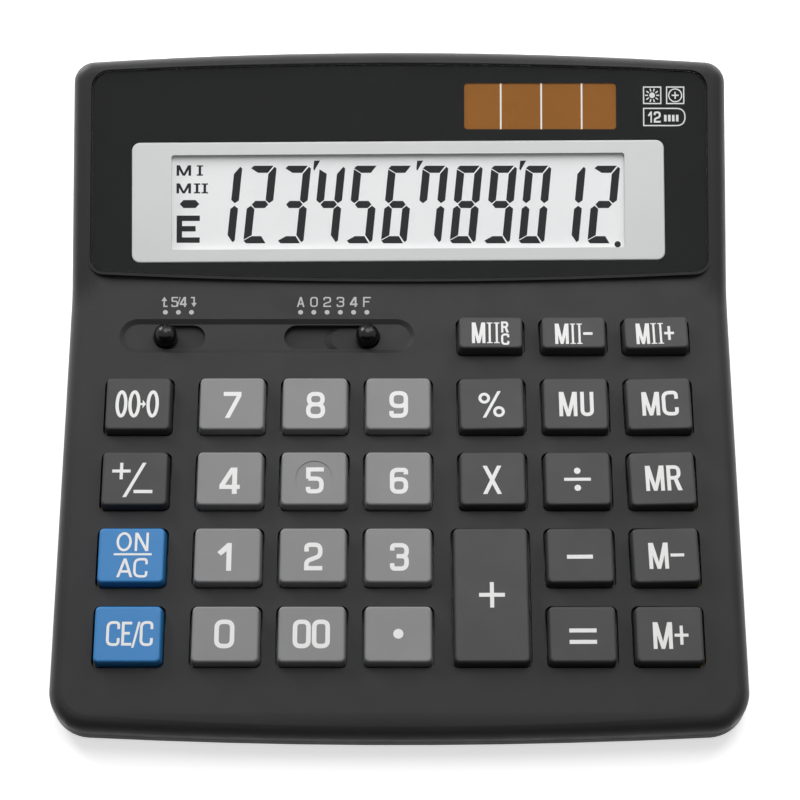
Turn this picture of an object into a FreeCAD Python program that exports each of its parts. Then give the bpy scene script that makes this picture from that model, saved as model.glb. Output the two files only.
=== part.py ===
import FreeCAD, Part
import math
import os

# Desktop calculator, millimetres, +Z up, front towards -Y, origin under the middle of the case
# on the surface that it stands on.
#
# Two sloping frames carry nearly everything. A point on the keypad is given by u (to the right),
# v (down the slope, towards the user, from the step below the display) and n (out of the surface).
# A point on the display is given by u, q (up the slope from the same step) and n.

V = FreeCAD.Vector

# Case, outside
case_width = 156.2
case_front_y = -81.2
case_back_y = 81.2
front_bow_radius = 1400.0
back_bow_radius = 1250.0
front_corner_radius = 9.2
back_corner_radius = 4.8
rim_radius = 3.3
nose_length = 5.6
nose_radius = 11.0
nose_sweep = 50.0
underside_z = 1.0
underside_radius = 1.5
fold_radius = 20.0

# Slopes and the step between them
keypad_tilt = 3.0
display_tilt = 21.0
step_y = 27.92
step_z = 15.9
step_height = 0.9
blend_start_u = 69.0
blend_end_u = 74.6
blend_front_y = -5.0
blend_lift = 0.04

# Case, inside
wall = 2.0
inner_rim_radius = 1.5
display_floor_depth = 3.25
parting_front_z = 4.6
parting_tilt = 3.5
seam_gap = 0.24
tongue_height = 1.4
tongue_inset = 1.1
tongue_clearance = 0.15

# Display window
lens_half_width = 73.35
lens_front_q = 0.87
lens_back_q = 52.3
lens_bow_radius = 1450.0
lens_front_corner_radius = 3.0
lens_back_corner_radius = 4.2
lens_top_n = -0.1
lens_thickness = 1.5
lens_edge_round = 0.25
lens_gap = 0.28
lip_width = 0.6
recess_floor_n = -1.75
mask_gap = 0.03
mask_thickness = 0.12

# Silver surround of the readout: glued on by hand, a third of a degree off square
bezel_u = -0.28
bezel_q = 19.47
bezel_width = 127.4
bezel_length = 29.0
bezel_corner = 2.0
bezel_edge_round = 0.4
bezel_turn = 0.33
bezel_top_n = -1.66
bezel_thickness = 0.55
bezel_gap = 0.25
readout_width = 108.4
readout_length = 22.8
readout_corner = 0.7

# Liquid crystal cell
glass_u = -0.1
glass_q = 19.2
glass_width = 116.0
glass_length = 30.0
glass_ledge = 3.0
glass_thickness = 1.1
glass_top_n = -2.75
glass_pocket_gap = 0.3
reflector_thickness = 0.2
retainer_width = 138.0
retainer_length = 35.0
retainer_thickness = 2.05
retainer_screw_u = 64.0
retainer_screw_reach = 12.5

# Solar cell
solar_u = 33.73
solar_q = 42.4
solar_window_width = 36.4
solar_window_length = 11.15
solar_window_corner = 0.8
solar_width = 40.0
solar_length = 14.0
solar_thickness = 0.9
solar_top_n = -1.8

# Keys
column_u = [-60.55, -38.8, -19.54, -0.23, 21.42, 40.88, 60.23]
small_row_v = 14.15
first_row_v = 31.8
row_pitch = 18.37
key_hole_width = 16.3
key_hole_length = 14.3
small_hole_length = 9.5
plus_hole_width = 18.1
plus_u = 20.68
hole_corner = 1.6
key_gap = 0.5
key_corner = 1.3
key_draft = 0.27
key_edge_round = 0.55
key_height = 2.5
small_key_height = 3.2
key_wall = 1.2
post_width = 4.6
ear_width = 8.0
ear_reach = 0.9
ear_top_n = -2.1
ear_thickness = 0.7
key_travel = 1.4
home_dish_radius = 4.25
home_dish_depth = 0.15

# Rubber sheet and board
dome_gap = 0.02
dome_radius = 4.6
dome_shoulder_radius = 3.2
dome_shoulder_n = -3.6
dome_top_radius = 2.2
dome_inside_radius = 3.9
dome_inside_top_radius = 2.5
dome_inside_top_n = -4.1
dome_pill_radius = 1.8
dome_pill_n = -4.35
sheet_top_n = -4.45
sheet_thickness = 0.7
sheet_half_width = 67.0
sheet_front_v = 94.2
sheet_back_v = 24.2
small_sheet_back_v = 9.0
small_sheet_left_u = 13.5
board_top_n = -5.15
board_thickness = 1.2
board_half_width = 69.0
board_front_v = 100.0
board_back_v = 6.0
board_boss_radius = 1.7
board_screw_places = [(-49.6, 41.0), (-49.6, 77.75), (9.8, 41.0), (9.8, 77.75),
                      (-64.0, 21.8), (64.0, 21.8), (-49.6, 97.0), (50.7, 97.0)]

# Sliders
slider_v = 13.7
slider_recess_left_u = -66.0
slider_recess_right_u = 3.6
slider_recess_width = 8.7
slider_floor_width = 6.5
slider_recess_depth = 0.7
slider_floor_thickness = 1.05
slot_width = 6.1
slider_pitch = 3.14
rounding_home_u = -55.1
rounding_steps = 2
decimal_home_u = -7.5
decimal_steps = 5
slot_end_room = 3.0
decimal_slot_spare = 1.0
knob_radius = 2.7
knob_centre_n = 0.6
plate_top_n = -1.9
plate_thickness = 0.4
plate_width = 9.0
tongue_plate_width = 5.5
tongue_plate_reach = 10.3
tongue_plate_slope = 1.8
deep_plate_top_n = -2.4
plate_overlap = 0.4
guide_depth_n = -2.25
guide_wall = 2.2
wiper_width = 3.0
wiper_length = 8.0
wiper_strip = 0.25

# Screws
case_screw_radius = 1.25
case_screw_length = 4.8
case_head_radius = 2.4
case_head_height = 1.5
case_shelf = 1.6
case_boss_radius = 3.3
case_top_boss_radius = 2.9
case_screw_places = [(-72.5, -64.0), (72.5, -64.0), (-72.5, 12.0), (72.5, 12.0),
                     (-71.0, 66.0), (71.0, 66.0)]
inner_screw_radius = 0.8
inner_screw_length = 3.9
inner_head_radius = 1.6
inner_head_height = 0.9
cross_width = 0.6

# Feet and battery
foot_radius = 5.0
foot_height = 1.85
foot_recess = 0.8
foot_places = [(-62.0, -66.0), (62.0, -66.0), (-62.0, 68.0), (62.0, 68.0)]
cell_x = 26.0
cell_y = 44.0
cell_radius = 5.8
cell_cap_radius = 4.4
cell_height = 5.4
cell_cap_height = 0.9
cell_bottom_z = 3.3
door_width = 38.0
door_length = 20.0
door_thickness = 1.9
door_gap = 0.3
box_ledge = 1.6
box_wall = 1.5
box_roof_z = 9.6
door_screw_x = 39.0

# Wires inside
wire_diameter = 1.0


def keypad_frame():
    turn = FreeCAD.Rotation(V(1, 0, 0), keypad_tilt)
    return FreeCAD.Placement(V(0, step_y, step_z), turn)


def display_frame():
    turn = FreeCAD.Rotation(V(1, 0, 0), display_tilt)
    lifted = keypad_frame().multVec(V(0, 0, step_height))
    return FreeCAD.Placement(lifted, turn)


def on_keypad(shape):
    shape.Placement = keypad_frame().multiply(shape.Placement)
    return shape


def on_display(shape):
    shape.Placement = display_frame().multiply(shape.Placement)
    return shape


def keypad_point(u, v, n):
    return keypad_frame().multVec(V(u, -v, n))


def display_point(u, q, n):
    return display_frame().multVec(V(u, q, n))


def fused(shapes):
    result = shapes[0]
    for other in shapes[1:]:
        result = result.fuse(other)
    return result.removeSplitter()


def rounded_wire(width, length, radius, z, centre=(0.0, 0.0)):
    half_w = width / 2
    half_l = length / 2
    diagonal = radius * (1 - math.sqrt(0.5))
    edges = []
    corners = [(1, -1), (1, 1), (-1, 1), (-1, -1)]
    ends = []
    for sx, sy in corners:
        along_x = V(sx * (half_w - radius), sy * half_l, z)
        along_y = V(sx * half_w, sy * (half_l - radius), z)
        middle = V(sx * (half_w - diagonal), sy * (half_l - diagonal), z)
        first, last = (along_x, along_y) if sx * sy < 0 else (along_y, along_x)
        ends.append((first, middle, last))
    for i in range(4):
        first, middle, last = ends[i]
        following = ends[(i + 1) % 4][0]
        edges.append(Part.Arc(first, middle, last).toShape())
        if (following - last).Length > 1e-6:
            edges.append(Part.makeLine(last, following))
    wire = Part.Wire(edges)
    wire.translate(V(centre[0], centre[1], 0))
    return wire


def rounded_prism(width, length, radius, z0, z1, centre=(0.0, 0.0)):
    return Part.Face(rounded_wire(width, length, radius, z0, centre)).extrude(V(0, 0, z1 - z0))


def box_between(x0, x1, y0, y1, z0, z1):
    return Part.makeBox(x1 - x0, y1 - y0, z1 - z0, V(x0, y0, z0))


def disc(radius, x, y, z0, z1):
    return Part.makeCylinder(radius, z1 - z0, V(x, y, z0))


def cone(r0, r1, x, y, z0, z1):
    return Part.makeCone(r0, r1, z1 - z0, V(x, y, z0))


def sagitta(bow, half):
    return bow - math.sqrt(bow ** 2 - half ** 2)


def bowed_prism(half, y_front, y_back, bow_front, bow_back, r_front, r_back, z0, z1):
    """Prism with straight sides, front and back edges that bow outwards, and round corners."""
    sag_front = sagitta(bow_front, half)
    sag_back = sagitta(bow_back, half)
    p = [V(-half, y_front + sag_front, z0), V(half, y_front + sag_front, z0),
         V(half, y_back - sag_back, z0), V(-half, y_back - sag_back, z0)]
    outline = [Part.Arc(p[0], V(0, y_front, z0), p[1]).toShape(), Part.makeLine(p[1], p[2]),
               Part.Arc(p[2], V(0, y_back, z0), p[3]).toShape(), Part.makeLine(p[3], p[0])]
    solid = Part.Face(Part.Wire(outline)).extrude(V(0, 0, z1 - z0))
    middle = (y_front + y_back) / 2

    def uprights(shape, front):
        found = []
        for edge in shape.Edges:
            start = edge.Vertexes[0].Point
            end = edge.Vertexes[-1].Point
            upright = math.hypot(start.x - end.x, start.y - end.y) < 1e-6
            if upright and (start.y < middle) == front:
                found.append(edge)
        return found

    solid = solid.makeFillet(r_front, uprights(solid, True))
    return solid.makeFillet(r_back, uprights(solid, False))


def case_plan(inset, z0, z1):
    return bowed_prism(case_width / 2 - inset, case_front_y + inset, case_back_y - inset,
                       front_bow_radius, back_bow_radius,
                       front_corner_radius - inset, back_corner_radius - inset, z0, z1)


def case_profile(keypad_drop, display_drop, z0):
    """Side view of the case: rounded nose, keypad slope, a soft fold, then the display slope."""
    along_keypad = keypad_frame().Rotation.multVec(V(0, 1, 0))
    along_display = display_frame().Rotation.multVec(V(0, 1, 0))
    up = keypad_frame().Rotation.multVec(V(0, 0, 1))
    keypad_start = keypad_point(0, 0, -keypad_drop)
    display_start = display_point(0, 0, -display_drop)
    cross = along_keypad.y * along_display.z - along_keypad.z * along_display.y
    gap = display_start - keypad_start
    fold = keypad_start + along_keypad * ((gap.y * along_display.z - gap.z * along_display.y) / cross)
    radius = fold_radius + keypad_drop
    half_angle = math.radians(display_tilt - keypad_tilt) / 2
    tangent = radius * math.tan(half_angle)
    bisector = FreeCAD.Rotation(V(1, 0, 0), (keypad_tilt + display_tilt) / 2).multVec(V(0, 0, 1))
    middle = fold + bisector * (radius / math.cos(half_angle) - radius)
    before = fold - along_keypad * tangent
    after = fold + along_display * tangent
    reach = 200.0
    back_top = fold + along_display * reach
    nose_top = keypad_start - along_keypad * ((keypad_start.y - case_front_y - nose_length)
                                              / along_keypad.y)
    nose_arc = nose_radius - keypad_drop

    def on_nose(angle):
        a = math.radians(angle)
        return nose_top - along_keypad * (nose_arc * math.sin(a)) - up * (nose_arc
                                                                         * (1 - math.cos(a)))

    nose_end = on_nose(nose_sweep)
    back_low = V(0, back_top.y, z0)
    front_low = V(0, nose_end.y, z0)
    wire = Part.Wire([Part.Arc(nose_end, on_nose(nose_sweep / 2), nose_top).toShape(),
                      Part.makeLine(nose_top, before), Part.Arc(before, middle, after).toShape(),
                      Part.makeLine(after, back_top), Part.makeLine(back_top, back_low),
                      Part.makeLine(back_low, front_low), Part.makeLine(front_low, nose_end)])
    face = Part.Face(wire)
    face.translate(V(-reach, 0, 0))
    return face.extrude(V(2 * reach, 0, 0))


def steepness(face, point):
    u, v = face.Surface.parameter(point)
    return abs(face.normalAt(u, v).z)


def case_body(inset, keypad_drop, display_drop, z0, rim):
    """Plan outline under the side profile, with the edge all round its top rounded."""
    tall = 60.0
    solid = case_plan(inset, z0, tall).common(case_profile(keypad_drop, display_drop, z0))
    solid = solid.removeSplitter()
    top_edges = []
    for edge in solid.Edges:
        middle = edge.CenterOfMass
        slopes = sorted(steepness(f, middle) for f in solid.ancestorsOfType(edge, Part.Face))
        if middle.z > parting_front_z and slopes[0] < 0.1 and slopes[-1] > 0.5:
            top_edges.append(edge)
    return solid.makeFillet(rim, top_edges)


def outside_body():
    body = case_body(0.0, 0.0, 0.0, underside_z, rim_radius)
    low_edges = [e for e in body.Edges if abs(e.BoundBox.ZMax - underside_z) < 1e-4]
    return body.makeFillet(underside_radius, low_edges)


def inside_body():
    return case_body(wall, wall, display_floor_depth, underside_z + wall, inner_rim_radius)


def parting_z(y):
    return parting_front_z + (y - case_front_y) * math.tan(math.radians(parting_tilt))


def parting_slab(low, high):
    """Slab parallel to the joint between the covers, from low to high above it."""
    size = 400.0
    slab = Part.makeBox(size, size, high - low, V(-size / 2, -size / 2, low))
    slab.rotate(V(0, 0, 0), V(1, 0, 0), parting_tilt)
    slab.translate(V(0, 0, parting_z(0.0)))
    return slab


def lens_prism(grow, n0, n1):
    return bowed_prism(lens_half_width + grow, lens_front_q - grow, lens_back_q + grow,
                       lens_bow_radius, lens_bow_radius,
                       lens_front_corner_radius + grow, lens_back_corner_radius + grow, n0, n1)


def bezel_prism(width, length, corner, n0, n1):
    prism = rounded_prism(width, length, corner, n0, n1)
    prism.rotate(V(0, 0, 0), V(0, 0, 1), bezel_turn)
    prism.translate(V(bezel_u, bezel_q, 0))
    return prism


def key_row_v(row):
    return small_row_v if row == 0 else first_row_v + (row - 1) * row_pitch


# Name, column, row and turn in its hole. Row 0 is the small row below the display.
keys = [
    ("key_backspace", 0, 1, 0.0), ("key_sign", 0, 2, 0.0),
    ("key_on_clear", 0, 3, 0.0), ("key_clear_entry", 0, 4, 0.0),
    ("key_7", 1, 1, 0.0), ("key_8", 2, 1, 0.0), ("key_9", 3, 1, 0.0),
    ("key_4", 1, 2, 0.0), ("key_5", 2, 2, 0.0), ("key_6", 3, 2, 0.0),
    ("key_1", 1, 3, 0.0), ("key_2", 2, 3, 0.0), ("key_3", 3, 3, 0.0),
    ("key_0", 1, 4, 0.0), ("key_00", 2, 4, 0.0), ("key_point", 3, 4, 0.0),
    ("key_percent", 4, 1, 1.0), ("key_multiply", 4, 2, 0.3), ("key_plus", 4, 3, 0.2),
    ("key_mark_up", 5, 1, 0.2), ("key_divide", 5, 2, 0.3),
    ("key_minus", 5, 3, 0.4), ("key_equals", 5, 4, 0.2),
    ("key_memory_clear", 6, 1, 1.3), ("key_memory_recall", 6, 2, 1.4),
    ("key_memory_minus", 6, 3, 1.2), ("key_memory_plus", 6, 4, 0.2),
    ("key_second_recall", 4, 0, 0.0), ("key_second_minus", 5, 0, 0.2),
    ("key_second_plus", 6, 0, 1.4),
]


def key_seat(name, column, row):
    """Hole centre and size of one key, and the centres of the domes under it."""
    if name == "key_plus":
        v = key_row_v(row) + row_pitch / 2
        domes = [(plus_u, key_row_v(row)), (plus_u, key_row_v(row + 1))]
        return plus_u, v, plus_hole_width, key_hole_length + row_pitch, domes
    u = column_u[column]
    v = key_row_v(row)
    length = small_hole_length if row == 0 else key_hole_length
    return u, v, key_hole_width, length, [(u, v)]


def key_cap(hole_width, hole_length, height, dome_offsets):
    width = hole_width - 2 * key_gap
    length = hole_length - 2 * key_gap
    bottom_n = ear_top_n - ear_thickness
    base = rounded_wire(width, length, key_corner, 0.0)
    face = rounded_wire(width - 2 * key_draft, length - 2 * key_draft, key_corner - 0.2, height)
    crown = Part.makeLoft([base, face], True, True)
    rim = [e for e in crown.Edges if abs(e.BoundBox.ZMin - height) < 1e-4]
    crown = crown.makeFillet(key_edge_round, rim)
    skirt = rounded_prism(width, length, key_corner, bottom_n, 0.0)
    ears = box_between(-ear_width / 2, ear_width / 2, -hole_length / 2 - ear_reach,
                       hole_length / 2 + ear_reach, bottom_n, ear_top_n)
    half_w = width / 2 - key_wall
    half_l = length / 2 - key_wall
    hollow = box_between(-half_w, half_w, -half_l, half_l, bottom_n, height - key_wall)
    cap = fused([crown, skirt, ears]).cut(hollow)
    post = post_width / 2
    posts = [box_between(x - post, x + post, y - post, y + post, bottom_n, height - key_wall / 2)
             for x, y in dome_offsets]
    return fused([cap] + posts)


def key_shape(name, column, row, turn):
    u, v, hole_width, hole_length, domes = key_seat(name, column, row)
    offsets = [(x - u, v - y) for x, y in domes]
    height = small_key_height if row == 0 else key_height
    cap = key_cap(hole_width, hole_length, height, offsets)
    if name == "key_5":
        cap = cap.cut(disc(home_dish_radius, 0, 0, height - home_dish_depth, height + 1.0))
    cap.rotate(V(0, 0, 0), V(0, 0, 1), turn)
    cap.translate(V(u, -v, 0))
    return on_keypad(cap)


def dome_places():
    places = []
    for name, column, row, turn in keys:
        places += key_seat(name, column, row)[4]
    return places


def slot_span(home_u, steps):
    travel = steps * slider_pitch
    left = home_u - slot_end_room
    right = home_u + slot_end_room
    if home_u < decimal_home_u:
        return left, right + travel
    return left - travel - decimal_slot_spare, right


def slot_wire(left, right, width, n):
    return rounded_wire(right - left, width, width / 2 - 0.001, n, ((left + right) / 2, -slider_v))


def slot_prism(left, right, width, n0, n1):
    return Part.Face(slot_wire(left, right, width, n0)).extrude(V(0, 0, n1 - n0))


def slider_recess():
    """Long shallow trough with sloping sides that both sliders run in."""
    length = slider_recess_right_u - slider_recess_left_u
    centre = ((slider_recess_left_u + slider_recess_right_u) / 2, -slider_v)
    shrink = slider_recess_width - slider_floor_width
    slope = shrink / 2 / slider_recess_depth
    above = 0.5
    top_width = slider_recess_width + 2 * slope * above
    top = rounded_wire(length + 2 * slope * above, top_width, top_width / 2 - 0.001, above, centre)
    floor = rounded_wire(length - shrink, slider_floor_width, slider_floor_width / 2 - 0.001,
                         -slider_recess_depth, centre)
    return Part.makeLoft([top, floor], True, True)


def rounding_plate_reach():
    """Reach of the rounding slider's plate to each side, so that it always closes its slot."""
    return rounding_steps * slider_pitch + slot_end_room + plate_overlap


def rounding_plate_span():
    """Reach of the rounding slider's plate over its whole travel."""
    reach = rounding_plate_reach()
    return (rounding_home_u - reach, rounding_home_u + rounding_steps * slider_pitch + reach)


def tongue_plate_span():
    """Reach of the decimal slider's raised plate over its whole travel."""
    return (decimal_home_u - decimal_steps * slider_pitch - tongue_plate_reach,
            decimal_home_u + knob_radius)


def fold_height(y):
    """Height of the case's outside over the keypad's plane, at a place y up the slope."""
    relative = math.radians(display_tilt - keypad_tilt)
    tangent = fold_radius * math.tan(relative / 2)
    start_y = -step_height / math.tan(relative) - tangent
    if y < start_y:
        return 0.0
    if y < start_y + tangent + tangent * math.cos(relative):
        return sagitta(fold_radius, y - start_y)
    return step_height + y * math.tan(relative)


def step_cuts():
    """Space in front of the display's lip: keypad level, blended into the fold at both sides."""
    outer = case_width / 2 + 2.0
    behind = 12.0
    ahead = 10.0
    high = 4.0
    columns = 17
    rows = 27
    spaces = [box_between(-blend_start_u, blend_start_u, -ahead, behind, 0.0, high)]
    for side in (-1, 1):
        grid = []
        for i in range(columns):
            u = blend_start_u + (outer - blend_start_u) * i / (columns - 1)
            part = min(1.0, (u - blend_start_u) / (blend_end_u - blend_start_u))
            fade = part * part * (3.0 - 2.0 * part)
            line = []
            for j in range(rows):
                y = blend_front_y + (behind - blend_front_y) * j / (rows - 1)
                line.append(V(side * u, y, fade * (fold_height(y) + blend_lift)))
            grid.append(line)
        surface = Part.BSplineSurface()
        surface.interpolate(grid)
        spaces.append(surface.toShape().extrude(V(0, 0, high)))
    platform = on_display(lens_prism(lens_gap + lip_width, -10.0, 10.0))
    return [on_keypad(space).cut(platform) for space in spaces]


def case_boss_spots():
    """Case screw places with the height that each screw head pulls against."""
    return [(x, y, parting_z(y) - case_shelf) for x, y in case_screw_places]


def top_cover(outside, inside):
    shell = outside.cut(inside)
    bosses = [disc(case_top_boss_radius, x, y, 0.0, 60.0).common(outside)
              for x, y in case_screw_places]
    guide_left, guide_right = tongue_plate_span()
    guide = rounded_prism(guide_right - guide_left + 2 * guide_wall, plate_width + 1.0, 1.0,
                          guide_depth_n, -wall / 2,
                          ((guide_left + guide_right) / 2, -slider_v))
    pads = [disc(board_boss_radius, u, -v, board_top_n, -wall / 2) for u, v in board_screw_places]
    retainer_pads = [disc(board_boss_radius, glass_u + su * retainer_screw_u,
                          glass_q + sq * retainer_screw_reach,
                          glass_top_n - 2 * glass_thickness - reflector_thickness,
                          -display_floor_depth + 0.5)
                     for su in (-1, 1) for sq in (-1, 1)]
    solid = fused([shell] + bosses + [on_keypad(s) for s in [guide] + pads]
                  + [on_display(s) for s in retainer_pads])
    cuts = step_cuts()
    cuts.append(on_display(lens_prism(lens_gap, recess_floor_n, 5.0)))
    cuts.append(on_display(bezel_prism(bezel_width + 2 * bezel_gap, bezel_length + 2 * bezel_gap,
                                       bezel_corner + bezel_gap,
                                       bezel_top_n - bezel_thickness - 0.03, 0.0)))
    cuts.append(on_display(bezel_prism(readout_width + 1.6, readout_length + 1.6, 1.0, -6.0, 0.0)))
    cuts.append(on_display(rounded_prism(glass_width + 2 * glass_pocket_gap,
                                         glass_length + 2 * glass_pocket_gap, 0.6,
                                         glass_top_n - 2.0, glass_top_n + 0.03,
                                         (glass_u, glass_q))))
    cuts.append(on_display(rounded_prism(solar_width + 0.4, solar_length + 0.4, 0.5,
                                         solar_top_n - solar_thickness - 0.05, 0.0,
                                         (solar_u, solar_q))))
    for side in (-1, 1):
        cuts.append(on_display(disc(1.0, solar_u + side * 16.0, solar_q, -6.0, 0.0)))
    for name, column, row, turn in keys:
        u, v, width, length, domes = key_seat(name, column, row)
        cuts.append(on_keypad(rounded_prism(width, length, hole_corner, -3.5, 3.0, (u, -v))))
    cuts.append(on_keypad(slider_recess()))
    for home_u, steps in ((rounding_home_u, rounding_steps), (decimal_home_u, decimal_steps)):
        left, right = slot_span(home_u, steps)
        cuts.append(on_keypad(slot_prism(left, right, slot_width, -3.5, 1.0)))
    channel_top = -slider_recess_depth - slider_floor_thickness
    pocket_left, pocket_right = rounding_plate_span()
    cuts.append(on_keypad(rounded_prism(pocket_right - pocket_left + 0.6, plate_width + 0.6, 1.3,
                                        guide_depth_n, channel_top,
                                        ((pocket_left + pocket_right) / 2, -slider_v))))
    cuts.append(on_keypad(slot_prism(guide_left - 0.5, guide_right + 0.5, slot_width,
                                     guide_depth_n - 0.5, channel_top)))
    for u, v in board_screw_places:
        cuts.append(on_keypad(disc(inner_screw_radius, u, -v, board_top_n - 0.5,
                                   board_top_n - board_thickness + inner_screw_length)))
    retainer_bottom = glass_top_n - 2 * glass_thickness - reflector_thickness - retainer_thickness
    for su in (-1, 1):
        for sq in (-1, 1):
            cuts.append(on_display(disc(inner_screw_radius, glass_u + su * retainer_screw_u,
                                        glass_q + sq * retainer_screw_reach, retainer_bottom,
                                        retainer_bottom + inner_screw_length)))
    for x, y, shelf_z in case_boss_spots():
        cuts.append(disc(case_screw_radius, x, y, shelf_z, shelf_z + case_screw_length))
    cuts.append(parting_slab(-60.0, seam_gap / 2))
    rebate = case_plan(tongue_inset - tongue_clearance, 0.0, 60.0)
    kept_bosses = [disc(case_top_boss_radius, x, y, 0.0, 60.0) for x, y in case_screw_places]
    for boss in kept_bosses:
        rebate = rebate.cut(boss)
    rebate = rebate.common(parting_slab(-60.0, tongue_height + tongue_clearance))
    cuts.append(rebate)
    for cutter in cuts:
        solid = solid.cut(cutter)
    return solid.removeSplitter()


def battery_box():
    """Walls and roof of the battery box that stands on the floor of the bottom cover."""
    half_w = door_width / 2 - box_ledge
    half_l = door_length / 2 - box_ledge
    left = cell_x + 4.0 - half_w
    right = cell_x + 4.0 + half_w
    outer = box_between(left - box_wall, right + box_wall, cell_y - half_l - box_wall,
                        cell_y + half_l + box_wall, underside_z + wall / 2, box_roof_z + box_wall)
    inner = box_between(left, right, cell_y - half_l, cell_y + half_l, 0.0, box_roof_z)
    return outer, inner


def door_prism(grow, z0, z1):
    return rounded_prism(door_width + 2 * grow, door_length + 2 * grow, 1.5 + grow, z0, z1,
                         (cell_x + 4.0, cell_y))


def bottom_cover(outside, inside):
    shell = outside.cut(inside).common(parting_slab(-60.0, -seam_gap / 2))
    ring = case_plan(tongue_inset, 0.0, 60.0).cut(case_plan(wall, 0.0, 60.0))
    ring = ring.common(parting_slab(-1.5, tongue_height)).common(outside)
    for x, y in case_screw_places:
        ring = ring.cut(disc(case_top_boss_radius + 0.3, x, y, 0.0, 60.0))
    bosses = [disc(case_boss_radius, x, y, underside_z + wall / 2, parting_z(y) + 5.0)
              .common(outside).common(parting_slab(-60.0, -seam_gap / 2))
              for x, y in case_screw_places]
    box_outer, box_inner = battery_box()
    door_boss = disc(2.4, door_screw_x, cell_y, underside_z + door_thickness, box_roof_z)
    solid = fused([shell, ring, box_outer] + bosses).cut(box_inner)
    solid = fused([solid, door_boss])
    cuts = [door_prism(door_gap, 0.0, underside_z + door_thickness)]
    cuts.append(disc(inner_screw_radius, door_screw_x, cell_y, 0.0,
                     underside_z + inner_head_height + inner_screw_length))
    for x, y, shelf_z in case_boss_spots():
        cuts.append(disc(case_head_radius + 0.3, x, y, 0.0, shelf_z))
        cuts.append(disc(case_screw_radius + 0.2, x, y, 0.0, 60.0))
    for x, y in foot_places:
        cuts.append(disc(foot_radius + 0.1, x, y, 0.0, underside_z + foot_recess + 0.05))
    for dx in (-7.5, 7.5):
        cuts.append(disc(0.9, cell_x + dx, cell_y, box_roof_z - 0.5, box_roof_z + 3.0))
    for cutter in cuts:
        solid = solid.cut(cutter)
    return solid.removeSplitter()


def screw(radius, length, head_radius, head_height):
    """Screw with its head below z = 0, its shank pointing up and a cross in the head."""
    shank = disc(radius, 0, 0, -head_height / 2, length)
    head = disc(head_radius, 0, 0, -head_height, 0.0)
    head = head.makeChamfer(head_height / 4, [e for e in head.Edges
                                              if abs(e.BoundBox.ZMax + head_height) < 1e-4])
    arm = head_radius * 0.65
    depth = head_height * 0.55
    body = fused([shank, head])
    for half_x, half_y in ((arm, cross_width / 2), (cross_width / 2, arm)):
        body = body.cut(box_between(-half_x, half_x, -half_y, half_y, -head_height - 1.0,
                                    -head_height + depth))
    return body


def case_screws():
    made = []
    for x, y, shelf_z in case_boss_spots():
        one = screw(case_screw_radius, case_screw_length, case_head_radius, case_head_height)
        one.translate(V(x, y, shelf_z))
        made.append(one)
    return Part.Compound(made)


def inner_screws():
    made = []
    for u, v in board_screw_places:
        one = screw(inner_screw_radius, inner_screw_length, inner_head_radius, inner_head_height)
        one.translate(V(u, -v, board_top_n - board_thickness))
        made.append(on_keypad(one))
    retainer_bottom = glass_top_n - 2 * glass_thickness - reflector_thickness - retainer_thickness
    for su in (-1, 1):
        for sq in (-1, 1):
            one = screw(inner_screw_radius, inner_screw_length, inner_head_radius,
                        inner_head_height)
            one.translate(V(glass_u + su * retainer_screw_u, glass_q + sq * retainer_screw_reach,
                            retainer_bottom))
            made.append(on_display(one))
    return Part.Compound(made)


def battery_door():
    door = door_prism(0.0, underside_z, underside_z + door_thickness)
    low = [e for e in door.Edges if abs(e.BoundBox.ZMax - underside_z) < 1e-4]
    door = door.makeFillet(0.3, low)
    door = door.cut(disc(inner_head_radius + 0.2, door_screw_x, cell_y, 0.0,
                         underside_z + inner_head_height))
    door = door.cut(disc(inner_screw_radius + 0.15, door_screw_x, cell_y, 0.0, 10.0))
    notch = rounded_prism(1.2, 9.0, 0.5, 0.0, underside_z + 0.7)
    for i in range(3):
        groove = notch.copy()
        groove.translate(V(cell_x + 4.0 - door_width / 2 + 4.0 + 2.4 * i, cell_y, 0))
        door = door.cut(groove)
    return door


def battery_door_screw():
    one = screw(inner_screw_radius, inner_screw_length, inner_head_radius, inner_head_height)
    one.translate(V(door_screw_x, cell_y, underside_z + inner_head_height))
    return one


def rubber_feet():
    made = []
    for x, y in foot_places:
        foot = disc(foot_radius, x, y, 0.0, underside_z + foot_recess)
        low = [e for e in foot.Edges if abs(e.BoundBox.ZMax) < 1e-4]
        made.append(foot.makeFillet(0.4, low))
    return Part.Compound(made)


def button_cell():
    can = disc(cell_radius, cell_x, cell_y, cell_bottom_z, cell_bottom_z + cell_height
               - cell_cap_height)
    can = can.makeFillet(0.4, [e for e in can.Edges if e.Length > 30])
    cap = disc(cell_cap_radius, cell_x, cell_y, cell_bottom_z + cell_height / 2,
               cell_bottom_z + cell_height)
    return fused([can, cap])


def battery_minus_contact():
    """Spring tab under the roof that presses on the cell's cap."""
    strip = 0.3
    top = box_roof_z
    touch = cell_bottom_z + cell_height + 0.02
    points = [V(cell_x - 9.0, 0, top), V(cell_x - 9.0, 0, top - strip),
              V(cell_x - 6.0, 0, top - strip), V(cell_x - 1.0, 0, touch),
              V(cell_x + 3.0, 0, touch), V(cell_x + 3.0, 0, touch + strip),
              V(cell_x - 1.0, 0, touch + strip), V(cell_x - 6.0, 0, top),
              V(cell_x - 9.0, 0, top)]
    tab = Part.Face(Part.makePolygon(points))
    tab.translate(V(0, cell_y - 2.5, 0))
    return tab.extrude(V(0, 5.0, 0))


def battery_plus_contact():
    """Strip that stands beside the cell and touches its can."""
    strip = 0.3
    side_x = cell_x + cell_radius + 0.02
    upright = box_between(side_x, side_x + strip, cell_y - 2.5, cell_y + 2.5,
                          cell_bottom_z + 0.4, box_roof_z)
    flange = box_between(side_x, side_x + 3.2, cell_y - 2.5, cell_y + 2.5, box_roof_z - strip,
                         box_roof_z)
    return fused([upright, flange])


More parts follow.
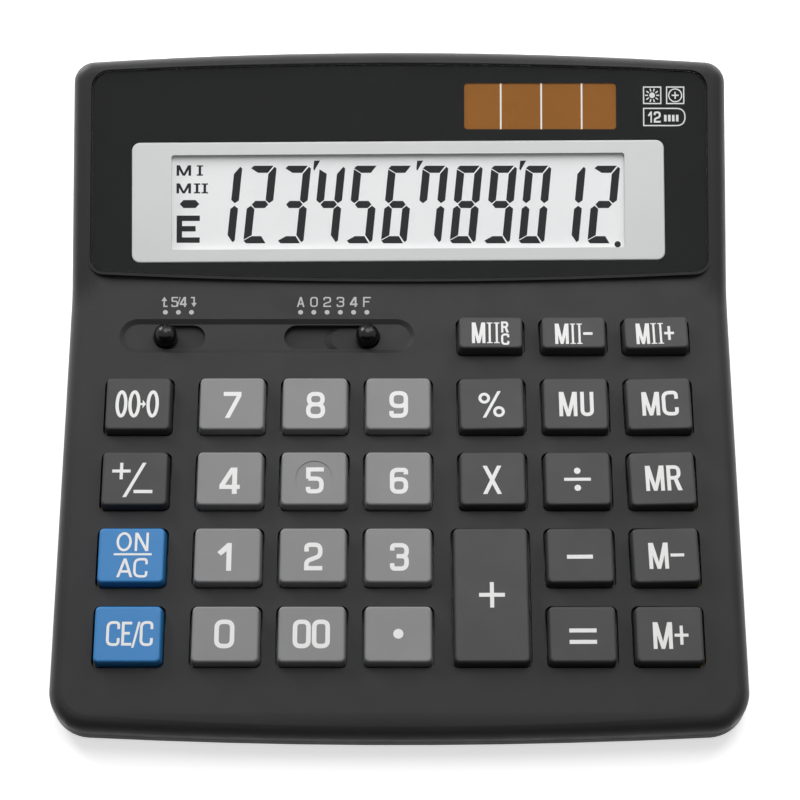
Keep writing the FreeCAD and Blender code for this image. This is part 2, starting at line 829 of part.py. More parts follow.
def display_lens():
    lens = lens_prism(0.0, lens_top_n - lens_thickness, lens_top_n)
    rim = [e for e in lens.Edges if abs(e.BoundBox.ZMin - lens_top_n) < 1e-4]
    return on_display(lens.makeFillet(lens_edge_round, rim))


def lens_mask():
    top = lens_top_n - lens_thickness - mask_gap
    film = lens_prism(-0.15, top - mask_thickness, top)
    film = film.cut(bezel_prism(bezel_width + bezel_gap, bezel_length + bezel_gap,
                                bezel_corner, top - 1.0, top + 1.0))
    film = film.cut(rounded_prism(solar_window_width, solar_window_length, solar_window_corner,
                                  top - 1.0, top + 1.0, (solar_u, solar_q)))
    return on_display(film)


def lcd_bezel():
    plate = bezel_prism(bezel_width, bezel_length, bezel_corner, bezel_top_n - bezel_thickness,
                        bezel_top_n)
    rim = [e for e in plate.Edges if abs(e.BoundBox.ZMin - bezel_top_n) < 1e-4]
    plate = plate.makeFillet(bezel_edge_round, rim)
    window = bezel_prism(readout_width, readout_length, readout_corner, -5.0, 0.0)
    return on_display(plate.cut(window))


def glass_prism(front_trim, n0, n1):
    length = glass_length - front_trim
    return rounded_prism(glass_width, length, 0.3, n0, n1, (glass_u, glass_q + front_trim / 2))


def lcd_front_glass():
    return on_display(glass_prism(0.0, glass_top_n - glass_thickness, glass_top_n))


def lcd_rear_glass():
    top = glass_top_n - glass_thickness
    return on_display(glass_prism(glass_ledge, top - glass_thickness, top))


def lcd_reflector():
    top = glass_top_n - 2 * glass_thickness
    return on_display(glass_prism(glass_ledge + 0.6, top - reflector_thickness, top))


def lcd_retainer():
    top = glass_top_n - 2 * glass_thickness - reflector_thickness
    frame = rounded_prism(retainer_width, retainer_length, 2.0, top - retainer_thickness, top,
                          (glass_u, glass_q))
    window = rounded_prism(retainer_width - 40.0, retainer_length - 17.0, 1.5,
                           top - retainer_thickness, top, (glass_u, glass_q))
    frame = frame.cut(window)
    for su in (-1, 1):
        for sq in (-1, 1):
            frame = frame.cut(disc(inner_screw_radius + 0.15, glass_u + su * retainer_screw_u,
                                   glass_q + sq * retainer_screw_reach, -20.0, 0.0))
    return on_display(frame)


def lcd_ribbon():
    """Flexible strip that joins the cell's ledge to the back edge of the board."""
    thickness = 0.15
    half_width = 50.0
    ledge_n = glass_top_n - glass_thickness
    ledge_q = glass_q - glass_length / 2
    dip = 0.5
    lower = [keypad_point(0, board_back_v + 2.5, board_top_n),
             keypad_point(0, board_back_v, board_top_n),
             display_point(0, ledge_q - 1.5, ledge_n - dip - thickness),
             display_point(0, ledge_q + 0.2, ledge_n - thickness),
             display_point(0, ledge_q + glass_ledge - 0.4, ledge_n - thickness)]
    upper = [keypad_point(0, board_back_v + 2.5, board_top_n + thickness),
             keypad_point(0, board_back_v, board_top_n + thickness),
             display_point(0, ledge_q - 1.5, ledge_n - dip),
             display_point(0, ledge_q + 0.2, ledge_n),
             display_point(0, ledge_q + glass_ledge - 0.4, ledge_n)]
    outline = lower + upper[::-1] + lower[:1]
    strip = Part.Face(Part.makePolygon(outline))
    strip.translate(V(-half_width, 0, 0))
    return strip.extrude(V(2 * half_width, 0, 0))


def solar_cell():
    return on_display(rounded_prism(solar_width, solar_length, 0.3, solar_top_n - solar_thickness,
                                    solar_top_n, (solar_u, solar_q)))


def main_board():
    bottom = board_top_n - board_thickness
    middle = (board_front_v + board_back_v) / 2
    board = rounded_prism(2 * board_half_width, board_front_v - board_back_v, 1.5, bottom,
                          board_top_n, (0.0, -middle))
    for u, v in board_screw_places:
        board = board.cut(disc(inner_screw_radius + 0.15, u, -v, bottom - 1.0, 0.0))
    return on_keypad(board)


def chip_cover():
    """Drop of black resin over the chip, on the underside of the board."""
    bottom = board_top_n - board_thickness
    drop = Part.makeCone(4.6, 6.5, 1.3, V(18.0, -50.0, bottom - 1.3))
    low = [e for e in drop.Edges if abs(e.BoundBox.ZMax - (bottom - 1.3)) < 1e-4]
    return on_keypad(drop.makeFillet(1.0, low))


def board_capacitors():
    bottom = board_top_n - board_thickness
    radius = 2.0
    cans = []
    for u in (-34.0, -28.0):
        can = Part.makeCylinder(radius, 6.0, V(u, -20.0, bottom - radius), V(0, 1, 0))
        cans.append(can.makeFillet(0.3, [e for e in can.Edges if e.Length > 10]))
    return on_keypad(Part.Compound(cans))


def board_resistors():
    bottom = board_top_n - board_thickness
    chips = [box_between(u - 1.6, u + 1.6, -30.8, -29.2, bottom - 0.6, bottom)
             for u in (30.0, 36.0, 42.0, 48.0)]
    return on_keypad(Part.Compound(chips))


def rubber_keypad():
    bottom = sheet_top_n - sheet_thickness
    main = box_between(-sheet_half_width, sheet_half_width, -sheet_front_v, -sheet_back_v, bottom,
                       sheet_top_n)
    small = box_between(small_sheet_left_u, sheet_half_width, -sheet_back_v, -small_sheet_back_v,
                        bottom, sheet_top_n)
    parts = [main, small]
    hollows = []
    pills = []
    top_n = ear_top_n - ear_thickness - dome_gap
    for u, v in dome_places():
        parts.append(cone(dome_radius, dome_shoulder_radius, u, -v, sheet_top_n, dome_shoulder_n))
        parts.append(disc(dome_top_radius, u, -v, dome_shoulder_n, top_n))
        hollows.append(cone(dome_inside_radius, dome_inside_top_radius, u, -v, bottom,
                            dome_inside_top_n))
        pills.append(disc(dome_pill_radius, u, -v, dome_pill_n, dome_inside_top_n))
    sheet = main.fuse([small] + parts[2:]).removeSplitter()
    sheet = sheet.cut(hollows)
    sheet = sheet.fuse(pills).removeSplitter()
    holes = [disc(board_boss_radius + 0.5, u, -v, bottom - 1.0, 0.0) for u, v in board_screw_places]
    return on_keypad(sheet.cut(holes))


def knob(home_u):
    stem = disc(knob_radius, home_u, -slider_v, plate_top_n - plate_thickness * 0.75,
                knob_centre_n)
    ball = Part.makeSphere(knob_radius, V(home_u, -slider_v, knob_centre_n))
    return fused([stem, ball])


def slider_plate(home_u, left_reach, right_reach, top_n):
    return rounded_prism(left_reach + right_reach, plate_width, 1.0, top_n - plate_thickness,
                         top_n, (home_u + (right_reach - left_reach) / 2, -slider_v))


def rounding_knob():
    reach = rounding_plate_reach()
    plate = slider_plate(rounding_home_u, reach, reach, plate_top_n)
    return on_keypad(fused([plate, knob(rounding_home_u)]))


def decimal_knob():
    left, right = slot_span(decimal_home_u, decimal_steps)
    travel = decimal_steps * slider_pitch
    plate = slider_plate(decimal_home_u, decimal_home_u - left + plate_overlap,
                         right - decimal_home_u + travel + plate_overlap, deep_plate_top_n)
    left_end = decimal_home_u - tongue_plate_reach
    right_end = decimal_home_u + tongue_plate_width / 2
    foot = slot_prism(left_end, right_end, tongue_plate_width,
                      deep_plate_top_n - plate_thickness / 2, deep_plate_top_n)
    raised = Part.makeLoft([slot_wire(left_end, right_end, tongue_plate_width, deep_plate_top_n),
                            slot_wire(left_end + tongue_plate_slope, right_end,
                                      tongue_plate_width, plate_top_n)], True, True)
    return on_keypad(fused([plate, foot, raised, knob(decimal_home_u)]))


def wiper(home_u, seat_n):
    """Bent spring strip under a slider, with both ends down on the board."""
    half = wiper_length / 2
    touch = board_top_n + 0.02
    upper = [(-half, touch + 0.6), (-half + 1.0, touch + wiper_strip), (-1.5, seat_n),
             (1.5, seat_n), (half - 1.0, touch + wiper_strip), (half, touch + 0.6)]
    lower = [(half, touch + 0.6 - wiper_strip), (half - 1.0, touch),
             (1.5, seat_n - wiper_strip), (-1.5, seat_n - wiper_strip), (-half + 1.0, touch),
             (-half, touch + 0.6 - wiper_strip)]
    points = [V(home_u + x, -slider_v - wiper_width / 2, n) for x, n in upper + lower]
    strip = Part.Face(Part.makePolygon(points + points[:1])).extrude(V(0, wiper_width, 0))
    return on_keypad(strip)


def rounding_wiper():
    return wiper(rounding_home_u, plate_top_n - plate_thickness)


def decimal_wiper():
    return wiper(decimal_home_u, deep_plate_top_n - plate_thickness)


def lead(points, diameter):
    """Wire along straight runs that are joined by tangent arcs."""
    edges = []
    start = points[0]
    for i in range(1, len(points) - 1):
        before = (points[i - 1] - points[i])
        after = (points[i + 1] - points[i])
        shorter = min(before.Length, after.Length)
        trim = 0.45 * shorter
        turn = math.pi - before.getAngle(after)
        radius = trim / math.tan(turn / 2)
        before.normalize()
        after.normalize()
        enter = points[i] + before * trim
        leave = points[i] + after * trim
        inward = (before + after).normalize()
        middle = points[i] + inward * (radius / math.cos(turn / 2) - radius)
        edges.append(Part.makeLine(start, enter))
        edges.append(Part.Arc(enter, middle, leave).toShape())
        start = leave
    edges.append(Part.makeLine(start, points[-1]))
    path = Part.Wire(edges)
    first = (points[1] - points[0]).normalize()
    profile = Part.Wire(Part.makeCircle(diameter / 2, points[0], first))
    tube = path.makePipeShell([profile], True, False)
    expected = math.pi * diameter ** 2 / 4 * path.Length
    print("lead length %.1f, volume %.2f, expected %.2f" % (path.Length, tube.Volume, expected))
    return tube


def solar_leads():
    """Two wires under the readout and round the battery box to the board's back edge."""
    made = []
    for start_u, end_u, bend_q in ((solar_u - 16.0, 53.5, 33.0), (solar_u + 16.0, 57.5, 36.0)):
        made.append(lead([display_point(start_u, solar_q, solar_top_n - solar_thickness),
                          display_point(start_u, solar_q, -9.5),
                          display_point(end_u, bend_q, -9.5),
                          display_point(end_u, 8.0, -9.5),
                          V(end_u, 29.0, 9.0),
                          V(end_u, 24.5, 12.0),
                          keypad_point(end_u, 7.6, board_top_n + 1.9),
                          keypad_point(end_u, 7.6, board_top_n)],
                         wire_diameter))
    return Part.Compound(made)


def battery_leads():
    """Two wires from the contacts, over the battery box and down to the board's underside."""
    made = []
    solder_z = keypad_point(0.0, 12.0, board_top_n - board_thickness)
    for start_x, over, end_x in ((cell_x - 7.5, [], 7.5),
                                 (cell_x + 7.5, [V(14.0, cell_y + 3.5, 13.0)], 3.5)):
        route = [V(start_x, cell_y, box_roof_z), V(start_x, cell_y, 13.1)] + over
        route += [V(end_x, cell_y - 2.0, 12.6), V(end_x, 33.0, 8.0), V(end_x, 25.0, 6.0),
                  V(end_x, solder_z.y, 5.8), V(end_x, solder_z.y, solder_z.z)]
        made.append(lead(route, wire_diameter))
    return Part.Compound(made)


def main():
    os.makedirs("parts", exist_ok=True)
    outside = outside_body()
    inside = inside_body()
    shapes = {
        "top_cover": top_cover(outside, inside),
        "bottom_cover": bottom_cover(outside, inside),
        "battery_door": battery_door(),
        "battery_door_screw": battery_door_screw(),
        "case_screws": case_screws(),
        "inner_screws": inner_screws(),
        "rubber_feet": rubber_feet(),
        "button_cell": button_cell(),
        "battery_plus_contact": battery_plus_contact(),
        "battery_minus_contact": battery_minus_contact(),
        "display_lens": display_lens(),
        "lens_mask": lens_mask(),
        "lcd_bezel": lcd_bezel(),
        "lcd_front_glass": lcd_front_glass(),
        "lcd_rear_glass": lcd_rear_glass(),
        "lcd_reflector": lcd_reflector(),
        "lcd_retainer": lcd_retainer(),
        "lcd_ribbon": lcd_ribbon(),
        "solar_cell": solar_cell(),
        "main_board": main_board(),
        "chip_cover": chip_cover(),
        "board_capacitors": board_capacitors(),
        "board_resistors": board_resistors(),
        "rubber_keypad": rubber_keypad(),
        "rounding_knob": rounding_knob(),
        "decimal_knob": decimal_knob(),
        "rounding_wiper": rounding_wiper(),
        "decimal_wiper": decimal_wiper(),
        "solar_leads": solar_leads(),
        "battery_leads": battery_leads(),
    }
    for name, column, row, turn in keys:
        shapes[name] = key_shape(name, column, row, turn)
    for name, shape in shapes.items():
        shape.exportStep("parts/%s.step" % name)
        print("%-24s solids %2d valid %s volume %.2f" % (name, len(shape.Solids), shape.isValid(),
                                                         shape.Volume))


main()
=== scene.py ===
import math

import bpy
from mathutils import Matrix, Vector, geometry


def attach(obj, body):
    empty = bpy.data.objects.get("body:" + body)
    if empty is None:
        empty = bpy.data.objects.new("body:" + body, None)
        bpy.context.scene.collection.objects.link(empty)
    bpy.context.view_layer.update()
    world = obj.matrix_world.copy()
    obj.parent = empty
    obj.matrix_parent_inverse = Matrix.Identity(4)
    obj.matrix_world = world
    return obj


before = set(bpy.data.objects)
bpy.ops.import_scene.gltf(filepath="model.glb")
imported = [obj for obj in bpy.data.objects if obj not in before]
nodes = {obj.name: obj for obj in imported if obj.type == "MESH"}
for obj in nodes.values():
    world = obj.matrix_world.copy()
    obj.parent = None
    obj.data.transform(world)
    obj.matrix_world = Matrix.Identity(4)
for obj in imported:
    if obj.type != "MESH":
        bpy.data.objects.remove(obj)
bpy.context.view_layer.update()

# A desktop calculator: the finish of each moulded, printed and metal part, the print on keys, case
# and window, the figures of the readout, and a plain studio. Sizes are in millimetres until a shape
# is placed, and then in metres.

MM = 0.001

# The two slopes: right along u, up the slope along the second axis, out of the surface along n
STEP_Y = 27.92
STEP_Z = 15.9
STEP_HEIGHT = 0.9
KEYPAD_TILT = 3.0
DISPLAY_TILT = 21.0


def slope(origin, tilt):
    return Matrix.Translation(origin) @ Matrix.Rotation(math.radians(tilt), 4, "X")


KEYPAD = slope(Vector((0, STEP_Y, STEP_Z)) * MM, KEYPAD_TILT)
DISPLAY = slope(KEYPAD @ Vector((0, 0, STEP_HEIGHT * MM)), DISPLAY_TILT)


# Flat print: outlines in a plane, joined into one thin raised piece

CORNER_STEPS = 7
CORNER_SHARE = 0.42
ELLIPSE_STEPS = 28
SMALL_DOT_STEPS = 20
MITRE_LIMIT = 0.4
SAME_POINT = 1e-5
TINY = 1e-6
INSIDE_OUTLINES = 1


def direction(start, end):
    return (end - start).normalized()


def rounded(points, radius, closed=False):
    """The line with its corners rounded; radius is one number, or one for each point."""
    points = [Vector(p) for p in points]
    radii = radius if isinstance(radius, (list, tuple)) else [radius] * len(points)
    made = []
    for i, point in enumerate(points):
        at_end = not closed and i in (0, len(points) - 1)
        if at_end or radii[i] <= 0:
            made.append(point)
            continue
        before = points[i - 1]
        after = points[(i + 1) % len(points)]
        reach = min(radii[i], (point - before).length / 2, (after - point).length / 2)
        start = point + direction(point, before) * reach
        end = point + direction(point, after) * reach
        for step in range(CORNER_STEPS + 1):
            t = step / CORNER_STEPS
            made.append(start * (1 - t) ** 2 + point * 2 * t * (1 - t) + end * t ** 2)
    return [p for i, p in enumerate(made) if (p - made[i - 1]).length > SAME_POINT]


def stroke(points, width, closed=False):
    """Four-cornered pieces of a pen line along the points, mitred at each turn."""
    last = len(points) - 1
    sides = []
    for i, point in enumerate(points):
        ways = []
        if closed or i > 0:
            ways.append(direction(points[i - 1], point))
        if closed or i < last:
            ways.append(direction(point, points[(i + 1) % len(points)]))
        normals = [Vector((-w.y, w.x)) for w in ways]
        mitre = sum(normals, Vector((0, 0))).normalized()
        offset = mitre * (width / 2 / max(MITRE_LIMIT, mitre.dot(normals[0])))
        sides.append((point + offset, point - offset))
    ends = sides[1:] + sides[:1] if closed else sides[1:]
    return [[a[0], b[0], b[1], a[1]] for a, b in zip(sides, ends)]


def ellipse(centre, radius_x, radius_y, steps=ELLIPSE_STEPS):
    turn = 2 * math.pi / steps
    return [Vector((centre[0] + radius_x * math.cos(i * turn),
                    centre[1] + radius_y * math.sin(i * turn))) for i in range(steps)]


def anticlockwise(outline):
    points = [Vector(p) for p in outline]
    area = sum(a.cross(b) for a, b in zip(points, points[1:] + points[:1]))
    return points if area > 0 else points[::-1]


def printed(name, outlines, plane, low, high, material):
    """One piece from outlines that may overlap, from height low to high over the plane."""
    points = []
    faces = []
    for outline in outlines:
        faces.append(list(range(len(points), len(points) + len(outline))))
        points.extend(anticlockwise(outline))
    joined = geometry.delaunay_2d_cdt(points, [], faces, INSIDE_OUTLINES, TINY)
    flat, _, triangles, _, _, sources = joined
    kept = [t for t, source in zip(triangles, sources) if source]
    count = len(flat)
    vertices = [plane @ (Vector((p.x, p.y, z)) * MM) for z in (high, low) for p in flat]
    mesh_faces = [list(t) for t in kept]
    mesh_faces += [[i + count for i in reversed(t)] for t in kept]
    edges = {(t[i], t[(i + 1) % 3]) for t in kept for i in range(3)}
    mesh_faces += [[b, a, a + count, b + count] for a, b in sorted(edges) if (b, a) not in edges]
    mesh = bpy.data.meshes.new(name)
    mesh.from_pydata(vertices, [], mesh_faces)
    mesh.validate()
    mesh.materials.append(material)
    made = bpy.data.objects.new(name, mesh)
    bpy.context.scene.collection.objects.link(made)
    return made


class Cell:
    """The space of one character, and a pen whose line stays inside it."""

    def __init__(self, left, right, low, high, pen):
        self.left = left
        self.low = low
        self.width = right - left
        self.height = high - low
        self.pen = pen
        self.radius = CORNER_SHARE * (self.width - pen)
        self.past_x = pen / 2 / (self.width - pen)
        self.past_y = pen / 2 / max(self.height - pen, TINY)

    def on(self, x, y):
        """A point by its share of the whole space."""
        return Vector((self.left + x * self.width, self.low + y * self.height))

    def middle(self, x, y):
        """A point by its share of the space that the middle of the pen can reach."""
        half = self.pen / 2
        return Vector((self.left + half + x * (self.width - self.pen),
                       self.low + half + y * (self.height - self.pen)))

    def line(self, points, radius=0.0, closed=False):
        route = [self.middle(x, y) for x, y in points]
        return stroke(rounded(route, radius, closed), self.pen, closed)

    def shape(self, points):
        return [[self.on(x, y) for x, y in points]]

    def box(self, x0, x1, y0, y1):
        return self.shape([(x0, y0), (x1, y0), (x1, y1), (x0, y1)])

    def slant(self, low_x, high_x, weight=1.0):
        """A leaning bar with level ends; low_x and high_x are the middles of its ends."""
        half = weight * self.pen / self.width / 2
        return self.shape([(low_x - half, 0), (low_x + half, 0), (high_x + half, 1), (high_x - half, 1)])

    def ring(self, centre, radius):
        return stroke(ellipse(self.on(*centre), radius, radius), self.pen, True)


# The characters, each drawn in a cell c

DIVIDE_DOT_RADIUS = 0.75
PERCENT_RING_RADIUS = 1.35


def zero(c):
    return c.line([(0, 0), (1, 0), (1, 1), (0, 1)], c.radius, True)


def one(c):
    flag = c.shape([(0, 0.67), (0.26, 0.547), (0.66, 0.715), (0.7, 1)])
    return flag + c.box(0.65, 1, 0, 1)


def two(c):
    top = c.radius
    turn = 0.7 * c.radius
    points = [(0, 0.71), (0, 1), (1, 1), (1, 0.52), (0, 0.3), (0, 0), (1 + c.past_x, 0)]
    return c.line(points, [0, top, top, turn, turn, 0, 0])


def three(c):
    upper = [(0, 0.77), (0, 1), (1, 1), (1, 0.53), (0.3, 0.53)]
    lower = [(0.3, 0.53), (1, 0.53), (1, 0), (0, 0), (0, 0.23)]
    return c.line(upper, c.radius) + c.line(lower, c.radius)


def four(c):
    leaning = c.shape([(0, 0.34), (0.27, 0.34), (0.8, 1), (0.54, 1)])
    return leaning + c.box(0, 1, 0.185, 0.345) + c.box(0.62, 0.86, 0, 1)


def five(c):
    upper = [(1 + c.past_x, 1), (0, 1), (0, 0.58)]
    lower = [(0, 0.58), (1, 0.58), (1, 0), (0, 0), (0, 0.2)]
    return c.line(upper) + c.line(lower, [0, c.radius, c.radius, c.radius, 0])


def six(c):
    bowl = [(0, 0), (1, 0), (1, 0.57), (0, 0.57)]
    back = [(0, 0.4), (0, 1), (1, 1), (1, 0.79)]
    return c.line(bowl, c.radius, True) + c.line(back, c.radius)


def seven(c):
    bar_low = 1 - c.pen / c.height
    leg = c.shape([(0.1, 0), (0.37, 0), (1, bar_low), (1, 1), (0.74, bar_low)])
    return c.box(0, 1, bar_low, 1) + leg


def eight(c):
    lower = [(0, 0), (1, 0), (1, 0.53), (0, 0.53)]
    upper = [(0.04, 0.53), (0.96, 0.53), (0.96, 1), (0.04, 1)]
    return c.line(lower, c.radius, True) + c.line(upper, c.radius, True)


def nine(c):
    bowl = [(0, 0.43), (1, 0.43), (1, 1), (0, 1)]
    back = [(1, 0.6), (1, 0), (0, 0), (0, 0.21)]
    return c.line(bowl, c.radius, True) + c.line(back, c.radius)


def oval(c):
    outline = ellipse(c.on(0.5, 0.5), (c.width - c.pen) / 2, (c.height - c.pen) / 2)
    return stroke(outline, c.pen, True)


def letter_a(c):
    half = 0.55 * c.pen / c.width
    legs = c.slant(half, 0.5, 1.1) + c.slant(1 - half, 0.5, 1.1)
    return legs + c.box(0.2, 0.8, 0.24, 0.24 + c.pen / c.height)


def letter_c(c):
    points = [(1, 0.7), (1, 1), (0, 1), (0, 0), (1, 0), (1, 0.3)]
    return c.line(points, 0.5 * c.width)


def letter_e(c):
    outer = c.line([(1 + c.past_x, 1), (0, 1), (0, 0), (1 + c.past_x, 0)])
    return outer + c.line([(0, 0.52), (0.92, 0.52)])


def letter_f(c):
    outer = c.line([(1 + c.past_x, 1), (0, 1), (0, -c.past_y)])
    return outer + c.line([(0, 0.52), (0.88, 0.52)])


def letter_i(c):
    """An I with thin bars at its head and foot, as a Roman numeral."""
    stem = 0.5 * c.pen / c.height
    half = c.pen / c.width / 2
    return c.box(0.5 - half, 0.5 + half, 0, 1) + c.box(0, 1, 0, stem) + c.box(0, 1, 1 - stem, 1)


def letter_m(c):
    stem = c.pen / c.width
    foot = [(0.5 + 0.45 * stem, 0), (0.5 - 0.45 * stem, 0)]
    left = c.shape([(0, 1), (1.25 * stem, 1)] + foot)
    right = c.shape([(1, 1)] + foot + [(1 - 1.25 * stem, 1)])
    return c.box(0, stem, 0, 1) + c.box(1 - stem, 1, 0, 1) + left + right


def letter_n(c):
    stem = c.pen / c.width
    leaning = c.shape([(0, 1), (1.2 * stem, 1), (1, 0), (1 - 1.2 * stem, 0)])
    return c.box(0, stem, 0, 1) + c.box(1 - stem, 1, 0, 1) + leaning


def letter_r(c):
    stem = c.pen / c.width
    bowl = c.line([(0, 1), (0.93, 1), (0.93, 0.5), (0, 0.5)], 0.45 * c.width)
    leg = c.shape([(0.42, 0.5), (0.42 + 1.1 * stem, 0.5), (1.02, 0), (1.02 - 1.2 * stem, 0)])
    return c.box(0, stem, 0, 1) + bowl + leg


def letter_u(c):
    return c.line([(0, 1 + c.past_y), (0, 0), (1, 0), (1, 1 + c.past_y)], 0.5 * c.width)


def bar(c):
    return c.box(0, 1, 0, 1)


def slash(c):
    half = c.pen / c.width / 2
    return c.slant(half, 1 - half)


def plus(c):
    across = c.pen / c.height / 2
    up = c.pen / c.width / 2
    return c.box(0, 1, 0.5 - across, 0.5 + across) + c.box(0.5 - up, 0.5 + up, 0, 1)


def times(c):
    half = 0.55 * c.pen / c.width
    return c.slant(half, 1 - half, 1.15) + c.slant(1 - half, half, 1.15)


def over(c):
    across = c.pen / c.height / 2
    dots = [ellipse(c.on(0.5, y), DIVIDE_DOT_RADIUS, DIVIDE_DOT_RADIUS) for y in (0.14, 0.86)]
    return c.box(0, 1, 0.5 - across, 0.5 + across) + dots


def equals(c):
    across = c.pen / c.height
    return c.box(0, 1, 0, across) + c.box(0, 1, 1 - across, 1)


def percent(c):
    radius = PERCENT_RING_RADIUS - c.pen / 2
    rings = c.ring((0.23, 0.74), radius) + c.ring((0.77, 0.22), radius)
    return rings + c.slant(0.21, 0.8, 1.15)


def dot(c):
    return [ellipse(c.on(0.5, 0.5), c.width / 2, c.height / 2)]


def arrow_right(c):
    half = c.pen / c.height / 2
    return c.box(0, 0.55, 0.5 - half, 0.5 + half) + c.shape([(0.42, 0), (1, 0.5), (0.42, 1)])


def arrow_up(c):
    """An arrow up whose foot turns to the right."""
    half = c.pen / c.width / 2
    head = c.shape([(0, 0.6), (0.9, 0.6), (0.45, 1)])
    foot = c.box(0.45 - half, 1, 0, c.pen / c.height)
    return head + foot + c.box(0.45 - half, 0.45 + half, 0, 0.65)


def arrow_down(c):
    """An arrow down whose tail comes in from the left."""
    half = c.pen / c.width / 2
    head = c.shape([(0.1, 0.4), (1, 0.4), (0.55, 0)])
    tail = c.box(0, 0.55 + half, 1 - c.pen / c.height, 1)
    return head + tail + c.box(0.55 - half, 0.55 + half, 0.35, 1)


CHARACTERS = {
    "0": zero, "1": one, "2": two, "3": three, "4": four, "5": five, "6": six, "7": seven, "8": eight,
    "9": nine, "A": letter_a, "C": letter_c, "E": letter_e, "F": letter_f, "I": letter_i, "M": letter_m,
    "N": letter_n, "O": oval, "R": letter_r, "U": letter_u, "-": bar, "/": slash, "+": plus, "x": times,
    ":": over, "=": equals, "%": percent, ".": dot, ">": arrow_right, "up": arrow_up, "down": arrow_down,
}


def characters(rows):
    """Outlines of several characters, each given as (character, left, right, low, high, pen)."""
    made = []
    for character, *space in rows:
        made += CHARACTERS[character](Cell(*space))
    return made


# Print on the keys, from the middle of each key: a normal key's face is KEY_FACE above the slope

COLUMN_U = [-60.55, -38.8, -19.54, -0.23, 21.42, 40.88, 60.23]
PLUS_U = 20.68
SMALL_ROW_V = 14.15
FIRST_ROW_V = 31.8
ROW_PITCH = 18.37
KEY_FACE = 2.5
SMALL_KEY_FACE = 3.2
HOME_DISH_DEPTH = 0.15
INK_DEPTH = 0.03
INK_HEIGHT = 0.025
FIGURE_PEN = 1.02
BOLD_PEN = 0.86
ZEROS_PEN = 0.76
ROMAN_M_PEN = 0.72
ENTRY_PEN = 0.62
THIN_PEN = 0.56
FINE_PEN = 0.5


def figure(character, left, right, low, high):
    return [(character, left, right, low, high, FIGURE_PEN)]


